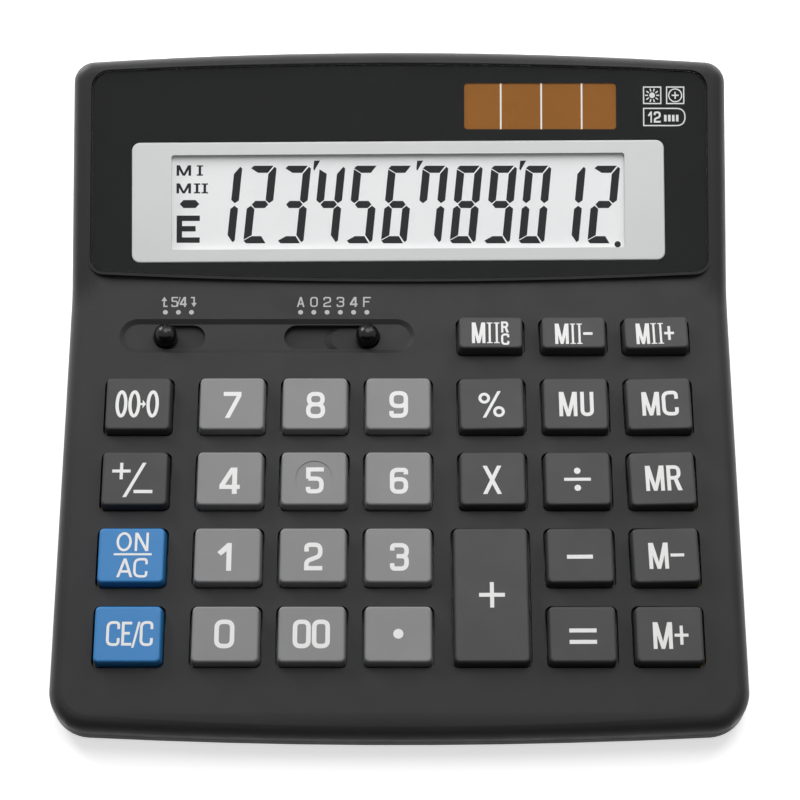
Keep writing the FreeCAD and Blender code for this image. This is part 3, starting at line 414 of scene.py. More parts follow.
# Each key: its column, its row, its turn in degrees, and its characters as for characters()
KEYS = {
    "backspace": (0, 1, 0, [
        ("O", -5.22, -2.46, -3.47, 3.28, ZEROS_PEN), ("O", -2.26, 0.55, -3.47, 3.28, ZEROS_PEN),
        (">", 0.5, 1.85, -1.16, 0.9, FINE_PEN), ("O", 1.96, 4.83, -3.47, 3.28, ZEROS_PEN)]),
    "sign": (0, 2, 0, [
        ("+", -5.19, -0.97, -0.24, 3.76, 0.72), ("/", -2.61, 2.58, -4.54, 3.77, 0.85),
        ("-", -0.11, 4.2, -3.6, -2.82, 0.7)]),
    "on_clear": (0, 3, 0, [
        ("O", -3.41, 0.03, 0.89, 5.41, THIN_PEN), ("N", 0.76, 3.85, 0.95, 5.3, THIN_PEN),
        ("-", -3.9, 4.66, -0.05, 0.42, THIN_PEN),
        ("A", -3.1, 0.5, -5.2, -0.8, THIN_PEN), ("C", 0.64, 3.86, -5.28, -0.7, THIN_PEN)]),
    "clear_entry": (0, 4, 0, [
        ("C", -4.72, -1.68, -2.78, 2.95, ENTRY_PEN), ("E", -1.3, 0.98, -2.68, 2.8, ENTRY_PEN),
        ("/", 0.99, 2.82, -3.18, 2.8, FINE_PEN), ("C", 2.76, 5.71, -2.78, 2.95, ENTRY_PEN)]),
    "7": (1, 1, 0, figure("7", -1.96, 2.16, -3.6, 2.9)),
    "8": (2, 1, 0, figure("8", -2.05, 2.37, -3.65, 2.9)),
    "9": (3, 1, 0, figure("9", -2.09, 2.25, -3.55, 3.1)),
    "4": (1, 2, 0, figure("4", -2.3, 2.35, -3.77, 2.6)),
    "5": (2, 2, 0, figure("5", -1.8, 2.25, -3.6, 2.7)),
    "6": (3, 2, 0, figure("6", -1.94, 2.25, -3.75, 2.55)),
    "1": (1, 3, 0, figure("1", -2.28, 0.92, -3.7, 2.84)),
    "2": (2, 3, 0, figure("2", -1.92, 2.2, -3.6, 2.94)),
    "3": (3, 3, 0, figure("3", -1.87, 2.38, -3.7, 2.84)),
    "0": (1, 4, 0, figure("0", -2.4, 2.08, -3.3, 3.3)),
    "00": (2, 4, 0, figure("0", -4.2, -0.18, -3.3, 3.3) + figure("0", 0.08, 4.1, -3.3, 3.3)),
    "point": (3, 4, 0, [(".", -1.11, 1.15, -1.1, 1.16, 1)]),
    "percent": (4, 1, 1.0, [("%", -3.1, 3.03, -3.47, 3.06, 0.68)]),
    "multiply": (4, 2, 0.3, [("x", -2.3, 1.96, -3.8, 3.05, 0.86)]),
    "plus": (4, 3.5, 0.2, [("+", -2.79, 3, -3.1, 2.83, 0.9)]),
    "mark_up": (5, 1, 0.2, [
        ("M", -3.84, 0.33, -3.15, 2.9, BOLD_PEN), ("U", 1.09, 4.15, -3.15, 2.9, BOLD_PEN)]),
    "divide": (5, 2, 0.3, [(":", -3.18, 2.92, -3.1, 2.62, 0.73)]),
    "minus": (5, 3, 0.4, [("-", -3.05, 2.82, -0.85, 0.07, 0.9)]),
    "equals": (5, 4, 0.2, [("=", -3, 3.1, -2.29, 1.25, 0.92)]),
    "memory_clear": (6, 1, 1.3, [
        ("M", -4.01, 0.11, -2.93, 2.9, BOLD_PEN), ("C", 0.62, 4.44, -3.04, 3.1, BOLD_PEN)]),
    "memory_recall": (6, 2, 1.4, [
        ("M", -3.89, 0.37, -2.98, 3.1, BOLD_PEN), ("R", 0.97, 4.34, -2.98, 3.1, BOLD_PEN)]),
    "memory_minus": (6, 3, 1.2, [
        ("M", -3.91, 0.49, -3.2, 2.94, BOLD_PEN), ("-", 0.99, 4.07, -0.39, 0.32, 0.7)]),
    "memory_plus": (6, 4, 0.2, [
        ("M", -3.71, 0.6, -3.43, 2.7, BOLD_PEN), ("+", 1.07, 4.16, -2.48, 1.9, 0.7)]),
    "second_recall": (4, 0, 0, [
        ("M", -4.42, -1.27, -2.75, 2.5, ROMAN_M_PEN), ("I", -0.9, 0.42, -2.75, 2.5, FINE_PEN),
        ("I", 0.75, 2.08, -2.75, 2.5, FINE_PEN), ("R", 2.46, 4.24, -0.05, 2.78, FINE_PEN),
        ("C", 2.41, 4.34, -3.19, -0.3, FINE_PEN)]),
    "second_minus": (5, 0, 0.2, [
        ("M", -4.4, -1.2, -2.95, 2.23, ROMAN_M_PEN), ("I", -0.84, 0.38, -2.95, 2.23, FINE_PEN),
        ("I", 0.7, 1.96, -2.95, 2.23, FINE_PEN), ("-", 2.21, 4.4, -0.65, 0.01, 0.6)]),
    "second_plus": (6, 0, 1.4, [
        ("M", -4.76, -1.61, -2.91, 2.34, ROMAN_M_PEN), ("I", -1.25, 0.03, -2.91, 2.34, FINE_PEN),
        ("I", 0.38, 1.65, -2.91, 2.34, FINE_PEN), ("+", 1.85, 4.13, -2.0, 1.5, 0.62)]),
}


def key_plane(name):
    """The plane on top of a key, with its origin over the middle of the key."""
    column, row, turn, _ = KEYS[name]
    u = PLUS_U if name == "plus" else COLUMN_U[column]
    v = SMALL_ROW_V if row == 0 else FIRST_ROW_V + (row - 1) * ROW_PITCH
    face = SMALL_KEY_FACE if row == 0 else KEY_FACE
    if name == "5":
        face -= HOME_DISH_DEPTH
    seat = Matrix.Translation(Vector((u, -v, face)) * MM)
    return KEYPAD @ seat @ Matrix.Rotation(math.radians(turn), 4, "Z")


def key_print(material):
    for name, (_, _, _, rows) in KEYS.items():
        made = printed("legend_" + name, characters(rows), key_plane(name), -INK_DEPTH, INK_HEIGHT,
                       material)
        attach(made, "key_" + name)


# Print on the case beside the two switches

SCALE_DOT_V = 7.62
SCALE_LOW_V = 6.24
SCALE_HIGH_V = 3.65
SLIDER_PITCH = 3.14
ROUNDING_DOT_PITCH = 3.09
ROUNDING_DOT_U = -55.4
DECIMAL_DOT_U = -23.38
SCALE_DOT_RADIUS = 0.58
SCALE_PEN = 0.33
SLASH_PEN = 0.22
SCALE_FIGURE_WIDTH = 1.8
DECIMAL_MARKS = "A0234F"


def scale_print(material):
    low = -SCALE_LOW_V
    high = -SCALE_HIGH_V
    half = SCALE_FIGURE_WIDTH / 2
    centre = ROUNDING_DOT_U
    rows = [("up", centre - 1.05, centre + 0.45, low, high, SCALE_PEN)]
    centre += ROUNDING_DOT_PITCH
    rows.append(("5", centre - 1.75, centre - 0.2, low, high, SCALE_PEN))
    rows.append(("/", centre - 0.45, centre + 0.4, low, high, SLASH_PEN))
    rows.append(("4", centre + 0.25, centre + 1.9, low, high, SCALE_PEN))
    centre += ROUNDING_DOT_PITCH
    rows.append(("down", centre - 0.25, centre + 1.15, low, high, SCALE_PEN))
    for step, character in enumerate(DECIMAL_MARKS):
        centre = DECIMAL_DOT_U + step * SLIDER_PITCH
        rows.append((character, centre - half, centre + half, low, high, SCALE_PEN))
    places = [ROUNDING_DOT_U + step * ROUNDING_DOT_PITCH for step in range(3)]
    places += [DECIMAL_DOT_U + step * SLIDER_PITCH for step in range(len(DECIMAL_MARKS))]
    dots = [ellipse((u, -SCALE_DOT_V), SCALE_DOT_RADIUS, SCALE_DOT_RADIUS, SMALL_DOT_STEPS)
            for u in places]
    made = printed("slider_scale", characters(rows) + dots, KEYPAD, -INK_DEPTH, INK_HEIGHT, material)
    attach(made, "case")


# Readout: twelve figures of seven bars, leaning to the right

FIGURE_LOW = 9.48
FIGURE_HEIGHT = 18.71
FIGURE_WIDTH = 6.15
FIGURE_PITCH = 8.23
LAST_FIGURE_RIGHT = 52.88
LEAN = math.tan(math.radians(5.7))
UPRIGHT_BAR = 1.85
LEVEL_BAR = 1.72
GLASS_TOP = -2.75
CRYSTAL_DEPTH = 0.01
CRYSTAL_HEIGHT = 0.02
SHOWN_FIGURES = "123456789012"
MARKED_PLACES = (3, 6, 9)
POINT_RADIUS = 0.75
SIGNS_LEFT = -53.38
SIGN_PEN = 0.62
UPPER_SIGN = (25.78, 28.29, SIGN_PEN)
LOWER_SIGN = (21.51, 23.92, SIGN_PEN)
LARGE_SIGN = (9.6, 16.16, 1.3)

# The bars of each figure: a top, b and c right, d bottom, e and f left, g middle
BARS = {"0": "abcdef", "1": "bc", "2": "abged", "3": "abgcd", "4": "fgbc", "5": "afgcd", "6": "afgcde",
        "7": "fabc", "8": "abcdefg", "9": "abcdfg"}


def bar_outline(bar_name):
    """Outline of one bar of an upright figure whose lower left corner is at 0, 0."""
    w = FIGURE_WIDTH
    h = FIGURE_HEIGHT
    m = h / 2
    s = UPRIGHT_BAR
    t = LEVEL_BAR
    left = [(0, h - 0.87), (s, h - 1.95), (s, m + 1.1), (s / 2, m + 0.3), (0, m + 1.0)]
    right = [(w - s, h - 2), (w - 0.5, h - 0.25), (w, h - 0.7), (w, m + 1.0), (w - s / 2, m + 0.3),
             (w - s, m + 1.1)]
    top = [(0.03, h - 0.64), (0.68, h), (w - 0.8, h), (w - s - 0.15, h - t), (s, h - t)]
    middle = [(1.1, m), (1.85, m + t / 2), (w - 1.85, m + t / 2), (w - 1.1, m), (w - 1.85, m - t / 2),
              (1.85, m - t / 2)]
    outline = {"f": left, "e": left, "b": right, "c": right, "a": top, "d": top, "g": middle}[bar_name]
    return [(x, h - y) for x, y in outline] if bar_name in "ecd" else outline


def leaning(points, right):
    """Points of an upright figure, leant over and moved so that its top right corner is at right."""
    start = right - FIGURE_WIDTH - LEAN * (FIGURE_HEIGHT - 0.7)
    return [Vector((start + x + LEAN * y, FIGURE_LOW + y)) for x, y in points]


def readout(material):
    outlines = []
    for place, character in enumerate(SHOWN_FIGURES):
        right = LAST_FIGURE_RIGHT - (len(SHOWN_FIGURES) - 1 - place) * FIGURE_PITCH
        for bar_name in BARS[character]:
            outlines.append(leaning(bar_outline(bar_name), right))
        if place in MARKED_PLACES:
            top = FIGURE_HEIGHT + 1.2
            mark = [(-1.5, top), (-0.07, top + 0.05), (-1.25, top - 2.45), (-1.5, top - 1.9)]
            outlines.append(leaning(mark, right))
    point = [ellipse((LAST_FIGURE_RIGHT - 0.66, FIGURE_LOW - 0.24), POINT_RADIUS, POINT_RADIUS)]
    signs = [("M", SIGNS_LEFT, -49.9, *UPPER_SIGN), ("I", -48.55, -47.05, *UPPER_SIGN),
             ("M", SIGNS_LEFT, -49.9, *LOWER_SIGN), ("I", -49.2, -47.7, *LOWER_SIGN),
             ("I", -47.35, -45.85, *LOWER_SIGN), ("E", SIGNS_LEFT + 0.1, -47.75, *LARGE_SIGN)]
    minus = [[(-52.57, 18.94), (-51.7, 19.91), (-48.8, 19.91), (-47.9, 18.94), (-48.8, 17.98),
              (-51.7, 17.98)]]
    made = printed("readout_figures", outlines + point + characters(signs) + minus, DISPLAY,
                   GLASS_TOP - CRYSTAL_DEPTH, GLASS_TOP + CRYSTAL_HEIGHT, material)
    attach(made, "case")


# Solar cell strips and the small print on the window

SOLAR_TOP = -1.8
SOLAR_STRIPS_U = [24.3, 34.0, 43.68]
SOLAR_STRIP_WIDTH = 0.4
SOLAR_LOW_Q = 36.6
SOLAR_HIGH_Q = 48.2
SOLAR_STRIP_HEIGHT = 0.02
MASK_TOP = -1.63
SIGN_DEPTH = 0.01
SIGN_HEIGHT = 0.015
SIGN_LINE = 0.3
THIN_SIGN_LINE = 0.28
BOLD_SIGN_LINE = 0.34

# Left, right, low and high edges of the frames round the signs
SUN_FRAME = (58.38, 62.8, 42.88, 47.17)
CELL_FRAME = (63.9, 68.3, 42.88, 47.17)
TAB_FRAME = (58.38, 68.56, 37.55, 42.0)
TAB_ROUNDING = 2.1
TAB_FIGURES = (38.4, 41.1, 0.45)
TAB_BARS_LEFT = 63.4
TAB_BAR_PITCH = 0.95
TAB_BAR_WIDTH = 0.6


def box(left, right, low, high):
    return [(left, low), (right, low), (right, high), (left, high)]


def solar_strips(material):
    half = SOLAR_STRIP_WIDTH / 2
    strips = [box(u - half, u + half, SOLAR_LOW_Q, SOLAR_HIGH_Q) for u in SOLAR_STRIPS_U]
    made = printed("solar_strips", strips, DISPLAY, SOLAR_TOP - SIGN_DEPTH,
                   SOLAR_TOP + SOLAR_STRIP_HEIGHT, material)
    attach(made, "case")


def frame_line(left, right, low, high, radius):
    half = SIGN_LINE / 2
    corners = box(left + half, right - half, low + half, high - half)
    return stroke(rounded(corners, radius, True), SIGN_LINE, True)


def sun_sign(centre, inner, outer, rays):
    shapes = [ellipse(centre, inner, inner, SMALL_DOT_STEPS)]
    middle = Vector(centre)
    for i in range(rays):
        angle = 2 * math.pi * i / rays
        way = Vector((math.cos(angle), math.sin(angle)))
        shapes += stroke([middle + way * (inner + 0.3), middle + way * outer], THIN_SIGN_LINE)
    return shapes


def cell_sign(centre, radius):
    shapes = stroke(ellipse(centre, radius, radius), THIN_SIGN_LINE, True)
    middle = Vector(centre)
    reach = 0.55 * radius
    for way in (Vector((1, 0)), Vector((0, 1))):
        shapes += stroke([middle - way * reach, middle + way * reach], BOLD_SIGN_LINE)
    return shapes


def window_print(material):
    outlines = frame_line(*SUN_FRAME, 0)
    outlines += frame_line(*CELL_FRAME, 0)
    outlines += sun_sign((60.59, 45.02), 0.68, 1.7, 10)
    outlines += cell_sign((66.1, 45.02), 1.55)
    outlines += frame_line(*TAB_FRAME, [0, TAB_ROUNDING, TAB_ROUNDING, 0])
    outlines += characters([("1", 59.5, 60.5, *TAB_FIGURES), ("2", 60.95, 62.6, *TAB_FIGURES)])
    for i in range(4):
        left = TAB_BARS_LEFT + i * TAB_BAR_PITCH
        outlines.append(box(left, left + TAB_BAR_WIDTH, 38.7, 40.3))
    made = printed("window_signs", outlines, DISPLAY, MASK_TOP - SIGN_DEPTH, MASK_TOP + SIGN_HEIGHT,
                   material)
    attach(made, "case")


# Materials

# Sockets of the colour mix node, whose names are used more than once on it
MIX_FIRST = 6
MIX_SECOND = 7
MIX_RESULT = 2

# Case: its reflection from in front and edge-on, and how far out, in millimetres, its rim begins
CASE_SPECULAR = 0.12
TOP_EDGE_SPECULAR = 1.0
BASE_EDGE_SPECULAR = 0.5
RIM_START_X = 73.5
RIM_START_Y = 74.5
RIM_BLEND = 1.0
SIDE_SHARE = 0.6

# Knobs: polished above the plate's top, matt below it
PLATE_TOP = -1.9
PLATE_BLEND = 0.4
BALL_ROUGHNESS = 0.25
PLATE_ROUGHNESS = 0.5
BALL_SPECULAR = 0.3
PLATE_SPECULAR = 0.1
BALL_SHADE = 0.1

# Window
WINDOW_IOR = 1.45
BEVEL_LEVEL = 0.9
FACE_LEVEL = 0.99


def srgb(*tones):
    """A colour given in the eight-bit steps of a screen."""
    shares = [t / 255 for t in tones]
    linear = [s / 12.92 if s <= 0.04045 else ((s + 0.055) / 1.055) ** 2.4 for s in shares]
    return tuple(linear) + (1.0,)


def add(tree, kind, settings=None, inputs=None):
    """A new node; an input given as a socket is linked, and any other is set on the node."""
    made = tree.nodes.new(kind)
    for name, value in (settings or {}).items():
        setattr(made, name, value)
    for name, value in (inputs or {}).items():
        if isinstance(value, bpy.types.NodeSocket):
            tree.links.new(value, made.inputs[name])
        else:
            made.inputs[name].default_value = value
    return made


def maths(tree, operation, first, second=None):
    inputs = {0: first} if second is None else {0: first, 1: second}
    return add(tree, "ShaderNodeMath", {"operation": operation}, inputs).outputs["Value"]


def height_over(tree, place, plane):
    """How far a place, or the end of a direction, reaches along the normal of that plane."""
    return add(tree, "ShaderNodeVectorMath", {"operation": "DOT_PRODUCT"}, {
        0: place, 1: plane.to_3x3() @ Vector((0, 0, 1))}).outputs["Value"]


def blank(name):
    made = bpy.data.materials.new(name)
    made.use_nodes = True
    tree = made.node_tree
    shader = tree.nodes["Principled BSDF"]
    place = add(tree, "ShaderNodeTexCoord").outputs["Object"]
    return made, tree, shader, place


def noise(tree, place, size, detail=2.0, roughness=0.5):
    """Soft random values with features of about that size, in millimetres."""
    return add(tree, "ShaderNodeTexNoise", inputs={
        "Vector": place, "Scale": 1 / (size * MM), "Detail": detail,
        "Roughness": roughness}).outputs["Fac"]


def spread(tree, value, low, high, from_low=0.3, from_high=0.7):
    return add(tree, "ShaderNodeMapRange", inputs={
        "Value": value, "From Min": from_low, "From Max": from_high,
        "To Min": low, "To Max": high}).outputs["Result"]


def tinted(tree, colour, share):
    """The colour, made lighter or darker by a share that varies over the surface."""
    grey = add(tree, "ShaderNodeCombineColor", inputs={"Red": share, "Green": share, "Blue": share})
    return add(tree, "ShaderNodeMix", {"data_type": "RGBA", "blend_type": "MULTIPLY"}, {
        "Factor": 1.0, MIX_FIRST: colour, MIX_SECOND: grey.outputs["Color"]}).outputs[MIX_RESULT]


def plastic(name, colour, roughness, grain=0.35, grain_depth=0.006, mottle=0.05, specular=0.5):
    """Moulded plastic with a fine spark-eroded grain and slight changes of shade and shine."""
    made, tree, shader, place = blank(name)
    blotches = noise(tree, place, 14.0, 3.0)
    specks = noise(tree, place, grain, 3.0, 0.6)
    shade = maths(tree, "MULTIPLY", spread(tree, blotches, 1 - mottle, 1 + mottle),
                  spread(tree, specks, 1 - mottle, 1 + mottle))
    tree.links.new(tinted(tree, colour, shade), shader.inputs["Base Color"])
    worn = spread(tree, noise(tree, place, 6.0, 4.0, 0.6), roughness - 0.05, roughness + 0.05)
    tree.links.new(worn, shader.inputs["Roughness"])
    bump = add(tree, "ShaderNodeBump", inputs={
        "Height": specks, "Distance": grain_depth * MM, "Strength": 1.0})
    tree.links.new(bump.outputs["Normal"], shader.inputs["Normal"])
    shader.inputs["Specular IOR Level"].default_value = specular
    return made


def rim_gloss(made, face_on, edge_on):
    """More reflection where the sides and back of the case are seen edge-on."""
    tree = made.node_tree
    place = add(tree, "ShaderNodeTexCoord").outputs["Object"]
    axes = add(tree, "ShaderNodeSeparateXYZ", inputs={"Vector": place})
    across = maths(tree, "ABSOLUTE", axes.outputs["X"])
    at_side = spread(tree, across, 0, SIDE_SHARE, RIM_START_X * MM, (RIM_START_X + RIM_BLEND) * MM)
    at_back = spread(tree, axes.outputs["Y"], 0, 1, RIM_START_Y * MM, (RIM_START_Y + RIM_BLEND) * MM)
    on_rim = maths(tree, "MAXIMUM", at_side, at_back)
    facing = add(tree, "ShaderNodeLayerWeight").outputs["Facing"]
    share = maths(tree, "MULTIPLY", on_rim, spread(tree, facing, 0, 1, 0.2, 0.7))
    tree.links.new(spread(tree, share, face_on, edge_on, 0, 1),
                   tree.nodes["Principled BSDF"].inputs["Specular IOR Level"])


def knob_plastic():
    """Black plastic that is polished on the ball and matt on the plate below it."""
    made = plastic("knob_black", srgb(24, 24, 25), 0.5, grain=0.5, grain_depth=0.001)
    tree = made.node_tree
    shader = tree.nodes["Principled BSDF"]
    place = add(tree, "ShaderNodeTexCoord").outputs["Object"]
    lower = add(tree, "ShaderNodeMapping", {"vector_type": "POINT"}, {
        "Vector": place, "Location": -KEYPAD.to_translation()}).outputs["Vector"]
    on_ball = spread(tree, height_over(tree, lower, KEYPAD), 0, 1, PLATE_TOP * MM,
                     (PLATE_TOP + PLATE_BLEND) * MM)
    tree.links.new(spread(tree, on_ball, PLATE_ROUGHNESS, BALL_ROUGHNESS, 0, 1),
                   shader.inputs["Roughness"])
    tree.links.new(spread(tree, on_ball, PLATE_SPECULAR, BALL_SPECULAR, 0, 1),
                   shader.inputs["Specular IOR Level"])
    tree.links.new(tinted(tree, srgb(44, 44, 45), spread(tree, on_ball, 1, BALL_SHADE, 0, 1)),
                   shader.inputs["Base Color"])
    return made


def metal(name, colour, roughness):
    """Metal with fine lines along one way and faint marks."""
    made, tree, shader, place = blank(name)
    stretched = add(tree, "ShaderNodeMapping", inputs={
        "Vector": place, "Scale": (1, 1, 12)}).outputs["Vector"]
    lines = noise(tree, stretched, 0.9, 4.0, 0.6)
    tree.links.new(tinted(tree, colour, spread(tree, lines, 0.9, 1.08)), shader.inputs["Base Color"])
    tree.links.new(spread(tree, lines, roughness - 0.07, roughness + 0.09), shader.inputs["Roughness"])
    bump = add(tree, "ShaderNodeBump", inputs={
        "Height": lines, "Distance": 0.004 * MM, "Strength": 0.5})
    tree.links.new(bump.outputs["Normal"], shader.inputs["Normal"])
    shader.inputs["Metallic"].default_value = 1.0
    return made


def ink(name, colour, roughness=0.45, specular=0.3):
    """Printed ink: nearly even, a little rough, thinner in tiny spots."""
    made, tree, shader, place = blank(name)
    specks = noise(tree, place, 0.22, 3.0, 0.6)
    tree.links.new(tinted(tree, colour, spread(tree, specks, 0.95, 1.0)), shader.inputs["Base Color"])
    tree.links.new(spread(tree, specks, roughness - 0.05, roughness + 0.08), shader.inputs["Roughness"])
    bump = add(tree, "ShaderNodeBump", inputs={
        "Height": specks, "Distance": 0.003 * MM, "Strength": 0.6})
    tree.links.new(bump.outputs["Normal"], shader.inputs["Normal"])
    shader.inputs["Specular IOR Level"].default_value = specular
    return made


def window_clear():
    """Clear acrylic whose edge and bevel reflect. The gloss of its face is that of the film behind it."""
    made = bpy.data.materials.new("window_clear")
    made.use_nodes = True
    tree = made.node_tree
    tree.nodes.remove(tree.nodes["Principled BSDF"])
    place = add(tree, "ShaderNodeTexCoord").outputs["Object"]
    marks = noise(tree, place, 9.0, 5.0, 0.6)
    glossy = add(tree, "ShaderNodeBsdfGlossy", inputs={
        "Color": (1, 1, 1, 1), "Roughness": spread(tree, marks, 0.015, 0.05)}).outputs["BSDF"]
    clear = add(tree, "ShaderNodeBsdfTransparent", inputs={
        "Color": (0.985, 0.99, 0.99, 1)}).outputs["BSDF"]
    edge = add(tree, "ShaderNodeFresnel", inputs={"IOR": WINDOW_IOR}).outputs["Fac"]
    surface = add(tree, "ShaderNodeNewGeometry")
    level = maths(tree, "ABSOLUTE", height_over(tree, surface.outputs["Normal"], DISPLAY))
    from_outside = maths(tree, "SUBTRACT", 1, surface.outputs["Backfacing"])
    at_bevel = maths(tree, "MULTIPLY", spread(tree, level, 1, 0, BEVEL_LEVEL, FACE_LEVEL), from_outside)
    share = maths(tree, "MULTIPLY", edge, at_bevel)
    mixed = add(tree, "ShaderNodeMixShader", inputs={0: share, 1: clear, 2: glossy}).outputs["Shader"]
    tree.links.new(mixed, tree.nodes["Material Output"].inputs["Surface"])
    return made


def paint(made, *names):
    """Gives CAD parts a finish."""
    for name in names:
        slots = nodes[name].data.materials
        slots.clear()
        slots.append(made)


def finishes():
    case_top = plastic("case_black", srgb(48, 48, 49), 0.5, specular=CASE_SPECULAR)
    rim_gloss(case_top, CASE_SPECULAR, TOP_EDGE_SPECULAR)
    paint(case_top, "top_cover")
    case_base = plastic("case_base_black", srgb(38, 38, 39), 0.5, specular=CASE_SPECULAR)
    rim_gloss(case_base, CASE_SPECULAR, BASE_EDGE_SPECULAR)
    paint(case_base, "bottom_cover")
    paint(plastic("door_black", srgb(42, 42, 44), 0.46), "battery_door")
    paint(plastic("retainer_black", srgb(36, 36, 38), 0.5), "lcd_retainer")
    paint(plastic("foot_rubber", srgb(48, 48, 48), 0.8, grain=0.6, grain_depth=0.02, mottle=0.08,
                  specular=0.3), "rubber_feet")
    paint(plastic("keypad_rubber", srgb(150, 152, 154), 0.7, grain=0.5, grain_depth=0.01, mottle=0.04,
                  specular=0.3), "rubber_keypad")
    paint(knob_plastic(), "rounding_knob", "decimal_knob")
    paint(plastic("mask_black", srgb(18, 18, 19), 0.12, grain=0.4, grain_depth=0.0, mottle=0.02,
                  specular=0.24), "lens_mask")
    light = plastic("key_light", srgb(127, 127, 128), 0.45, grain=0.3, grain_depth=0.004, mottle=0.025,
                    specular=0.25)
    dark = plastic("key_dark", srgb(62, 62, 63), 0.42, grain=0.3, grain_depth=0.004, mottle=0.04,
                   specular=0.2)
    blue = plastic("key_blue", srgb(44, 118, 177), 0.42, grain=0.3, grain_depth=0.004, mottle=0.02,
                   specular=0.35)
    for name, (column, row, _, _) in KEYS.items():
        if 1 <= column <= 3:
            paint(light, "key_" + name)
        elif column == 0 and row >= 3:
            paint(blue, "key_" + name)
        else:
            paint(dark, "key_" + name)
    paint(window_clear(), "display_lens")
    paint(plastic("bezel_silver", srgb(222, 221, 221), 0.42, grain=0.25, grain_depth=0.002,
                  mottle=0.015, specular=0.3), "lcd_bezel")
    paint(plastic("glass_pale", srgb(250, 250, 250), 0.3, grain=0.6, grain_depth=0.0005, mottle=0.008,
                  specular=0.2), "lcd_front_glass")
    paint(plastic("glass_green", srgb(196, 206, 196), 0.2, grain=0.6, grain_depth=0.0005,
                  mottle=0.01), "lcd_rear_glass")
    paint(plastic("reflector_grey", srgb(214, 216, 208), 0.5, grain=0.3, grain_depth=0.002,
                  mottle=0.02), "lcd_reflector")
    paint(plastic("ribbon_amber", srgb(190, 120, 50), 0.35, grain=0.8, grain_depth=0.001,
                  mottle=0.06), "lcd_ribbon")
    paint(plastic("solar_brown", srgb(150, 97, 44), 0.3, grain=0.4, grain_depth=0.0005, mottle=0.03,
                  specular=0.1), "solar_cell")
    paint(plastic("board_tan", srgb(170, 138, 90), 0.55, grain=0.7, mottle=0.06), "main_board")
    paint(plastic("resin_black", srgb(18, 18, 20), 0.25, grain=3.0, grain_depth=0.03,
                  mottle=0.1), "chip_cover")
    paint(plastic("capacitor_black", srgb(24, 27, 60), 0.35, grain=1.0, grain_depth=0.002,
                  mottle=0.06), "board_capacitors")
    paint(plastic("resistor_black", srgb(24, 24, 26), 0.3, grain=0.3, grain_depth=0.002,
                  mottle=0.06), "board_resistors")
    paint(plastic("lead_red", srgb(168, 24, 22), 0.4, grain=1.0, grain_depth=0.002), "solar_leads")
    paint(plastic("lead_black", srgb(26, 26, 28), 0.4, grain=1.0, grain_depth=0.002), "battery_leads")
    steel = metal("screw_steel", srgb(168, 168, 170), 0.32)
    paint(steel, "case_screws", "inner_screws", "battery_door_screw")
    paint(metal("cell_steel", srgb(205, 205, 205), 0.22), "button_cell")
    spring = metal("contact_metal", srgb(196, 192, 178), 0.28)
    paint(spring, "battery_plus_contact", "battery_minus_contact", "rounding_wiper", "decimal_wiper")


# Studio, in metres

FLOOR_REACH = 4.0
FLOOR_Z = -0.0001
GLOW_NEAR = 0.6
GLOW_FAR = 1.0
GLOW_START = 0.18
GLOW_END = 0.3
AMBIENT = 0.35
CARD_REACH = 0.9
CARD_Y = -0.34
CARD_HEIGHT = 0.42
CAMERA_LENS = 100
CAMERA_SENSOR = 36
CAMERA_PLACE = (0.00016, -0.21681, 0.48574)
CAMERA_PITCH = 24.5

# Place, the point that it faces, diameter, and power in watts
LAMPS = {
    "top": ((0.03, 0.27, 0.64), (0, 0.02, 0.02), 0.5, 2.65),
    "back_right": ((0.34, 0.36, 0.4), (0, 0, 0.02), 0.3, 0.9),
    "back_left": ((-0.42, 0.42, 0.3), (0, 0, 0.02), 0.25, 2.2),
    "below": ((0, 0.03, -0.7), (0, 0, 0), 0.4, 1.7),
}


def sheet(name, corners, material):
    """A flat piece of the studio."""
    mesh = bpy.data.meshes.new(name)
    mesh.from_pydata(corners, [], [(0, 1, 2, 3)])
    made = bpy.data.objects.new(name, mesh)
    bpy.context.scene.collection.objects.link(made)
    mesh.materials.append(material)
    return made


def floor():
    """A pale floor that takes the shadow of the case and is white around it."""
    material = bpy.data.materials.new("floor_white")
    material.use_nodes = True
    tree = material.node_tree
    tree.nodes.remove(tree.nodes["Principled BSDF"])
    matt = add(tree, "ShaderNodeBsdfDiffuse", inputs={"Color": (0.8, 0.8, 0.8, 1)}).outputs["BSDF"]
    place = add(tree, "ShaderNodeTexCoord").outputs["Object"]
    away = add(tree, "ShaderNodeVectorMath", {"operation": "LENGTH"}, {0: place}).outputs["Value"]
    strength = seen_directly(tree, spread(tree, away, GLOW_NEAR, GLOW_FAR, GLOW_START, GLOW_END))
    glow = add(tree, "ShaderNodeEmission", inputs={"Strength": strength}).outputs["Emission"]
    both = add(tree, "ShaderNodeAddShader", inputs={0: matt, 1: glow}).outputs["Shader"]
    clear = add(tree, "ShaderNodeBsdfTransparent").outputs["BSDF"]
    from_below = add(tree, "ShaderNodeNewGeometry").outputs["Backfacing"]
    path = add(tree, "ShaderNodeLightPath")
    unlit = maths(tree, "MAXIMUM", path.outputs["Is Diffuse Ray"], path.outputs["Is Shadow Ray"])
    hidden = maths(tree, "MAXIMUM", from_below, unlit)
    mixed = add(tree, "ShaderNodeMixShader", inputs={0: hidden, 1: both, 2: clear}).outputs["Shader"]
    tree.links.new(mixed, tree.nodes["Material Output"].inputs["Surface"])
    reach = FLOOR_REACH
    made = sheet("floor", [(-reach, -reach, FLOOR_Z), (reach, -reach, FLOOR_Z),
                           (reach, reach, FLOOR_Z), (-reach, reach, FLOOR_Z)], material)


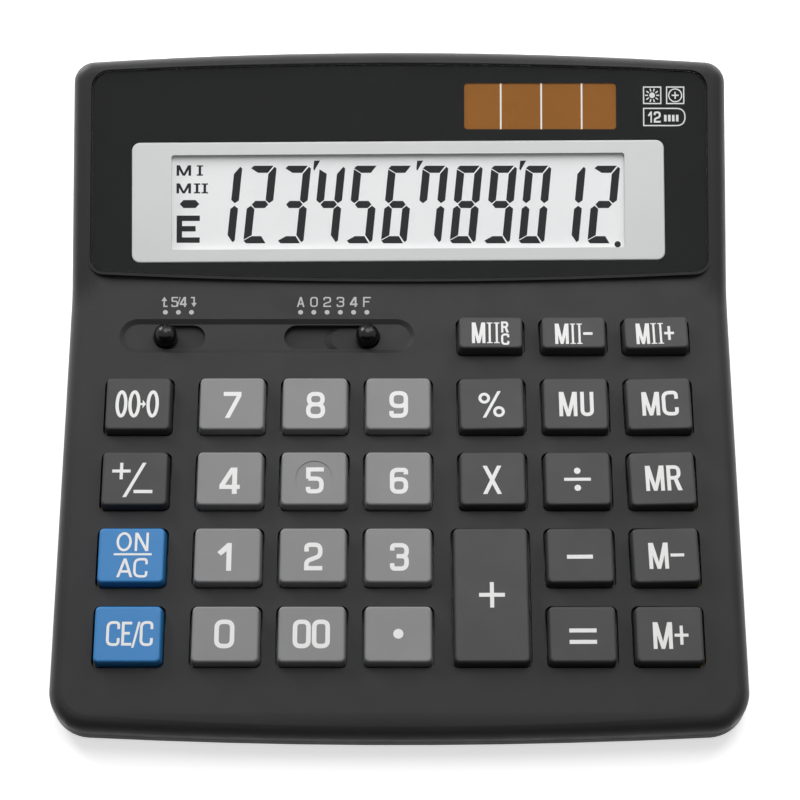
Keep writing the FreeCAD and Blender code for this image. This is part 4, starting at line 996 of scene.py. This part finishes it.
def seen_directly(tree, strength):
    """That strength for rays from the camera, off gloss and through clear parts, and 0 for others."""
    path = add(tree, "ShaderNodeLightPath")
    some = maths(tree, "MAXIMUM", path.outputs["Is Camera Ray"], path.outputs["Is Glossy Ray"])
    seen = maths(tree, "MAXIMUM", some, path.outputs["Is Transmission Ray"])
    return maths(tree, "MULTIPLY", seen, strength)


def surroundings():
    world = bpy.data.worlds.new("studio")
    bpy.context.scene.world = world
    world.use_nodes = True
    tree = world.node_tree
    light = tree.nodes["Background"]
    light.inputs["Color"].default_value = (1, 1, 1, 1)
    strength = maths(tree, "MAXIMUM", seen_directly(tree, 1), AMBIENT)
    tree.links.new(strength, light.inputs["Strength"])


def area_light(name, place, target, size, power):
    data = bpy.data.lights.new(name, "AREA")
    data.shape = "DISK"
    data.size = size
    data.energy = power
    made = bpy.data.objects.new(name, data)
    made.location = place
    made.rotation_euler = (Vector(target) - Vector(place)).to_track_quat("-Z", "Y").to_euler()
    bpy.context.scene.collection.objects.link(made)


def dark_card():
    """A dark card in front of the case, so that surfaces that face the user stay dark."""
    material = bpy.data.materials.new("dark_card")
    material.use_nodes = True
    shader = material.node_tree.nodes["Principled BSDF"]
    shader.inputs["Base Color"].default_value = (0.01, 0.01, 0.01, 1)
    shader.inputs["Roughness"].default_value = 1.0
    made = sheet("dark_card", [(-CARD_REACH, CARD_Y, 0), (CARD_REACH, CARD_Y, 0),
                               (CARD_REACH, CARD_Y, CARD_HEIGHT), (-CARD_REACH, CARD_Y, CARD_HEIGHT)],
                 material)
    made.visible_camera = False


def camera():
    data = bpy.data.cameras.new("camera")
    data.lens = CAMERA_LENS
    data.sensor_width = CAMERA_SENSOR
    made = bpy.data.objects.new("camera", data)
    made.location = CAMERA_PLACE
    made.rotation_euler = (math.radians(CAMERA_PITCH), 0, 0)
    bpy.context.scene.collection.objects.link(made)
    bpy.context.scene.camera = made


key_print(ink("ink_white", srgb(226, 226, 225)))
scale_print(ink("ink_grey", srgb(172, 172, 172)))
readout(ink("crystal_dark", srgb(50, 51, 53), 0.6, 0.1))
solar_strips(ink("strip_pale", srgb(250, 243, 234)))
window_print(ink("sign_grey", srgb(232, 232, 232)))
finishes()
floor()
surroundings()
dark_card()
for lamp_name, lamp in LAMPS.items():
    area_light(lamp_name, *lamp)
camera()
bpy.context.scene.view_settings.view_transform = "Standard"
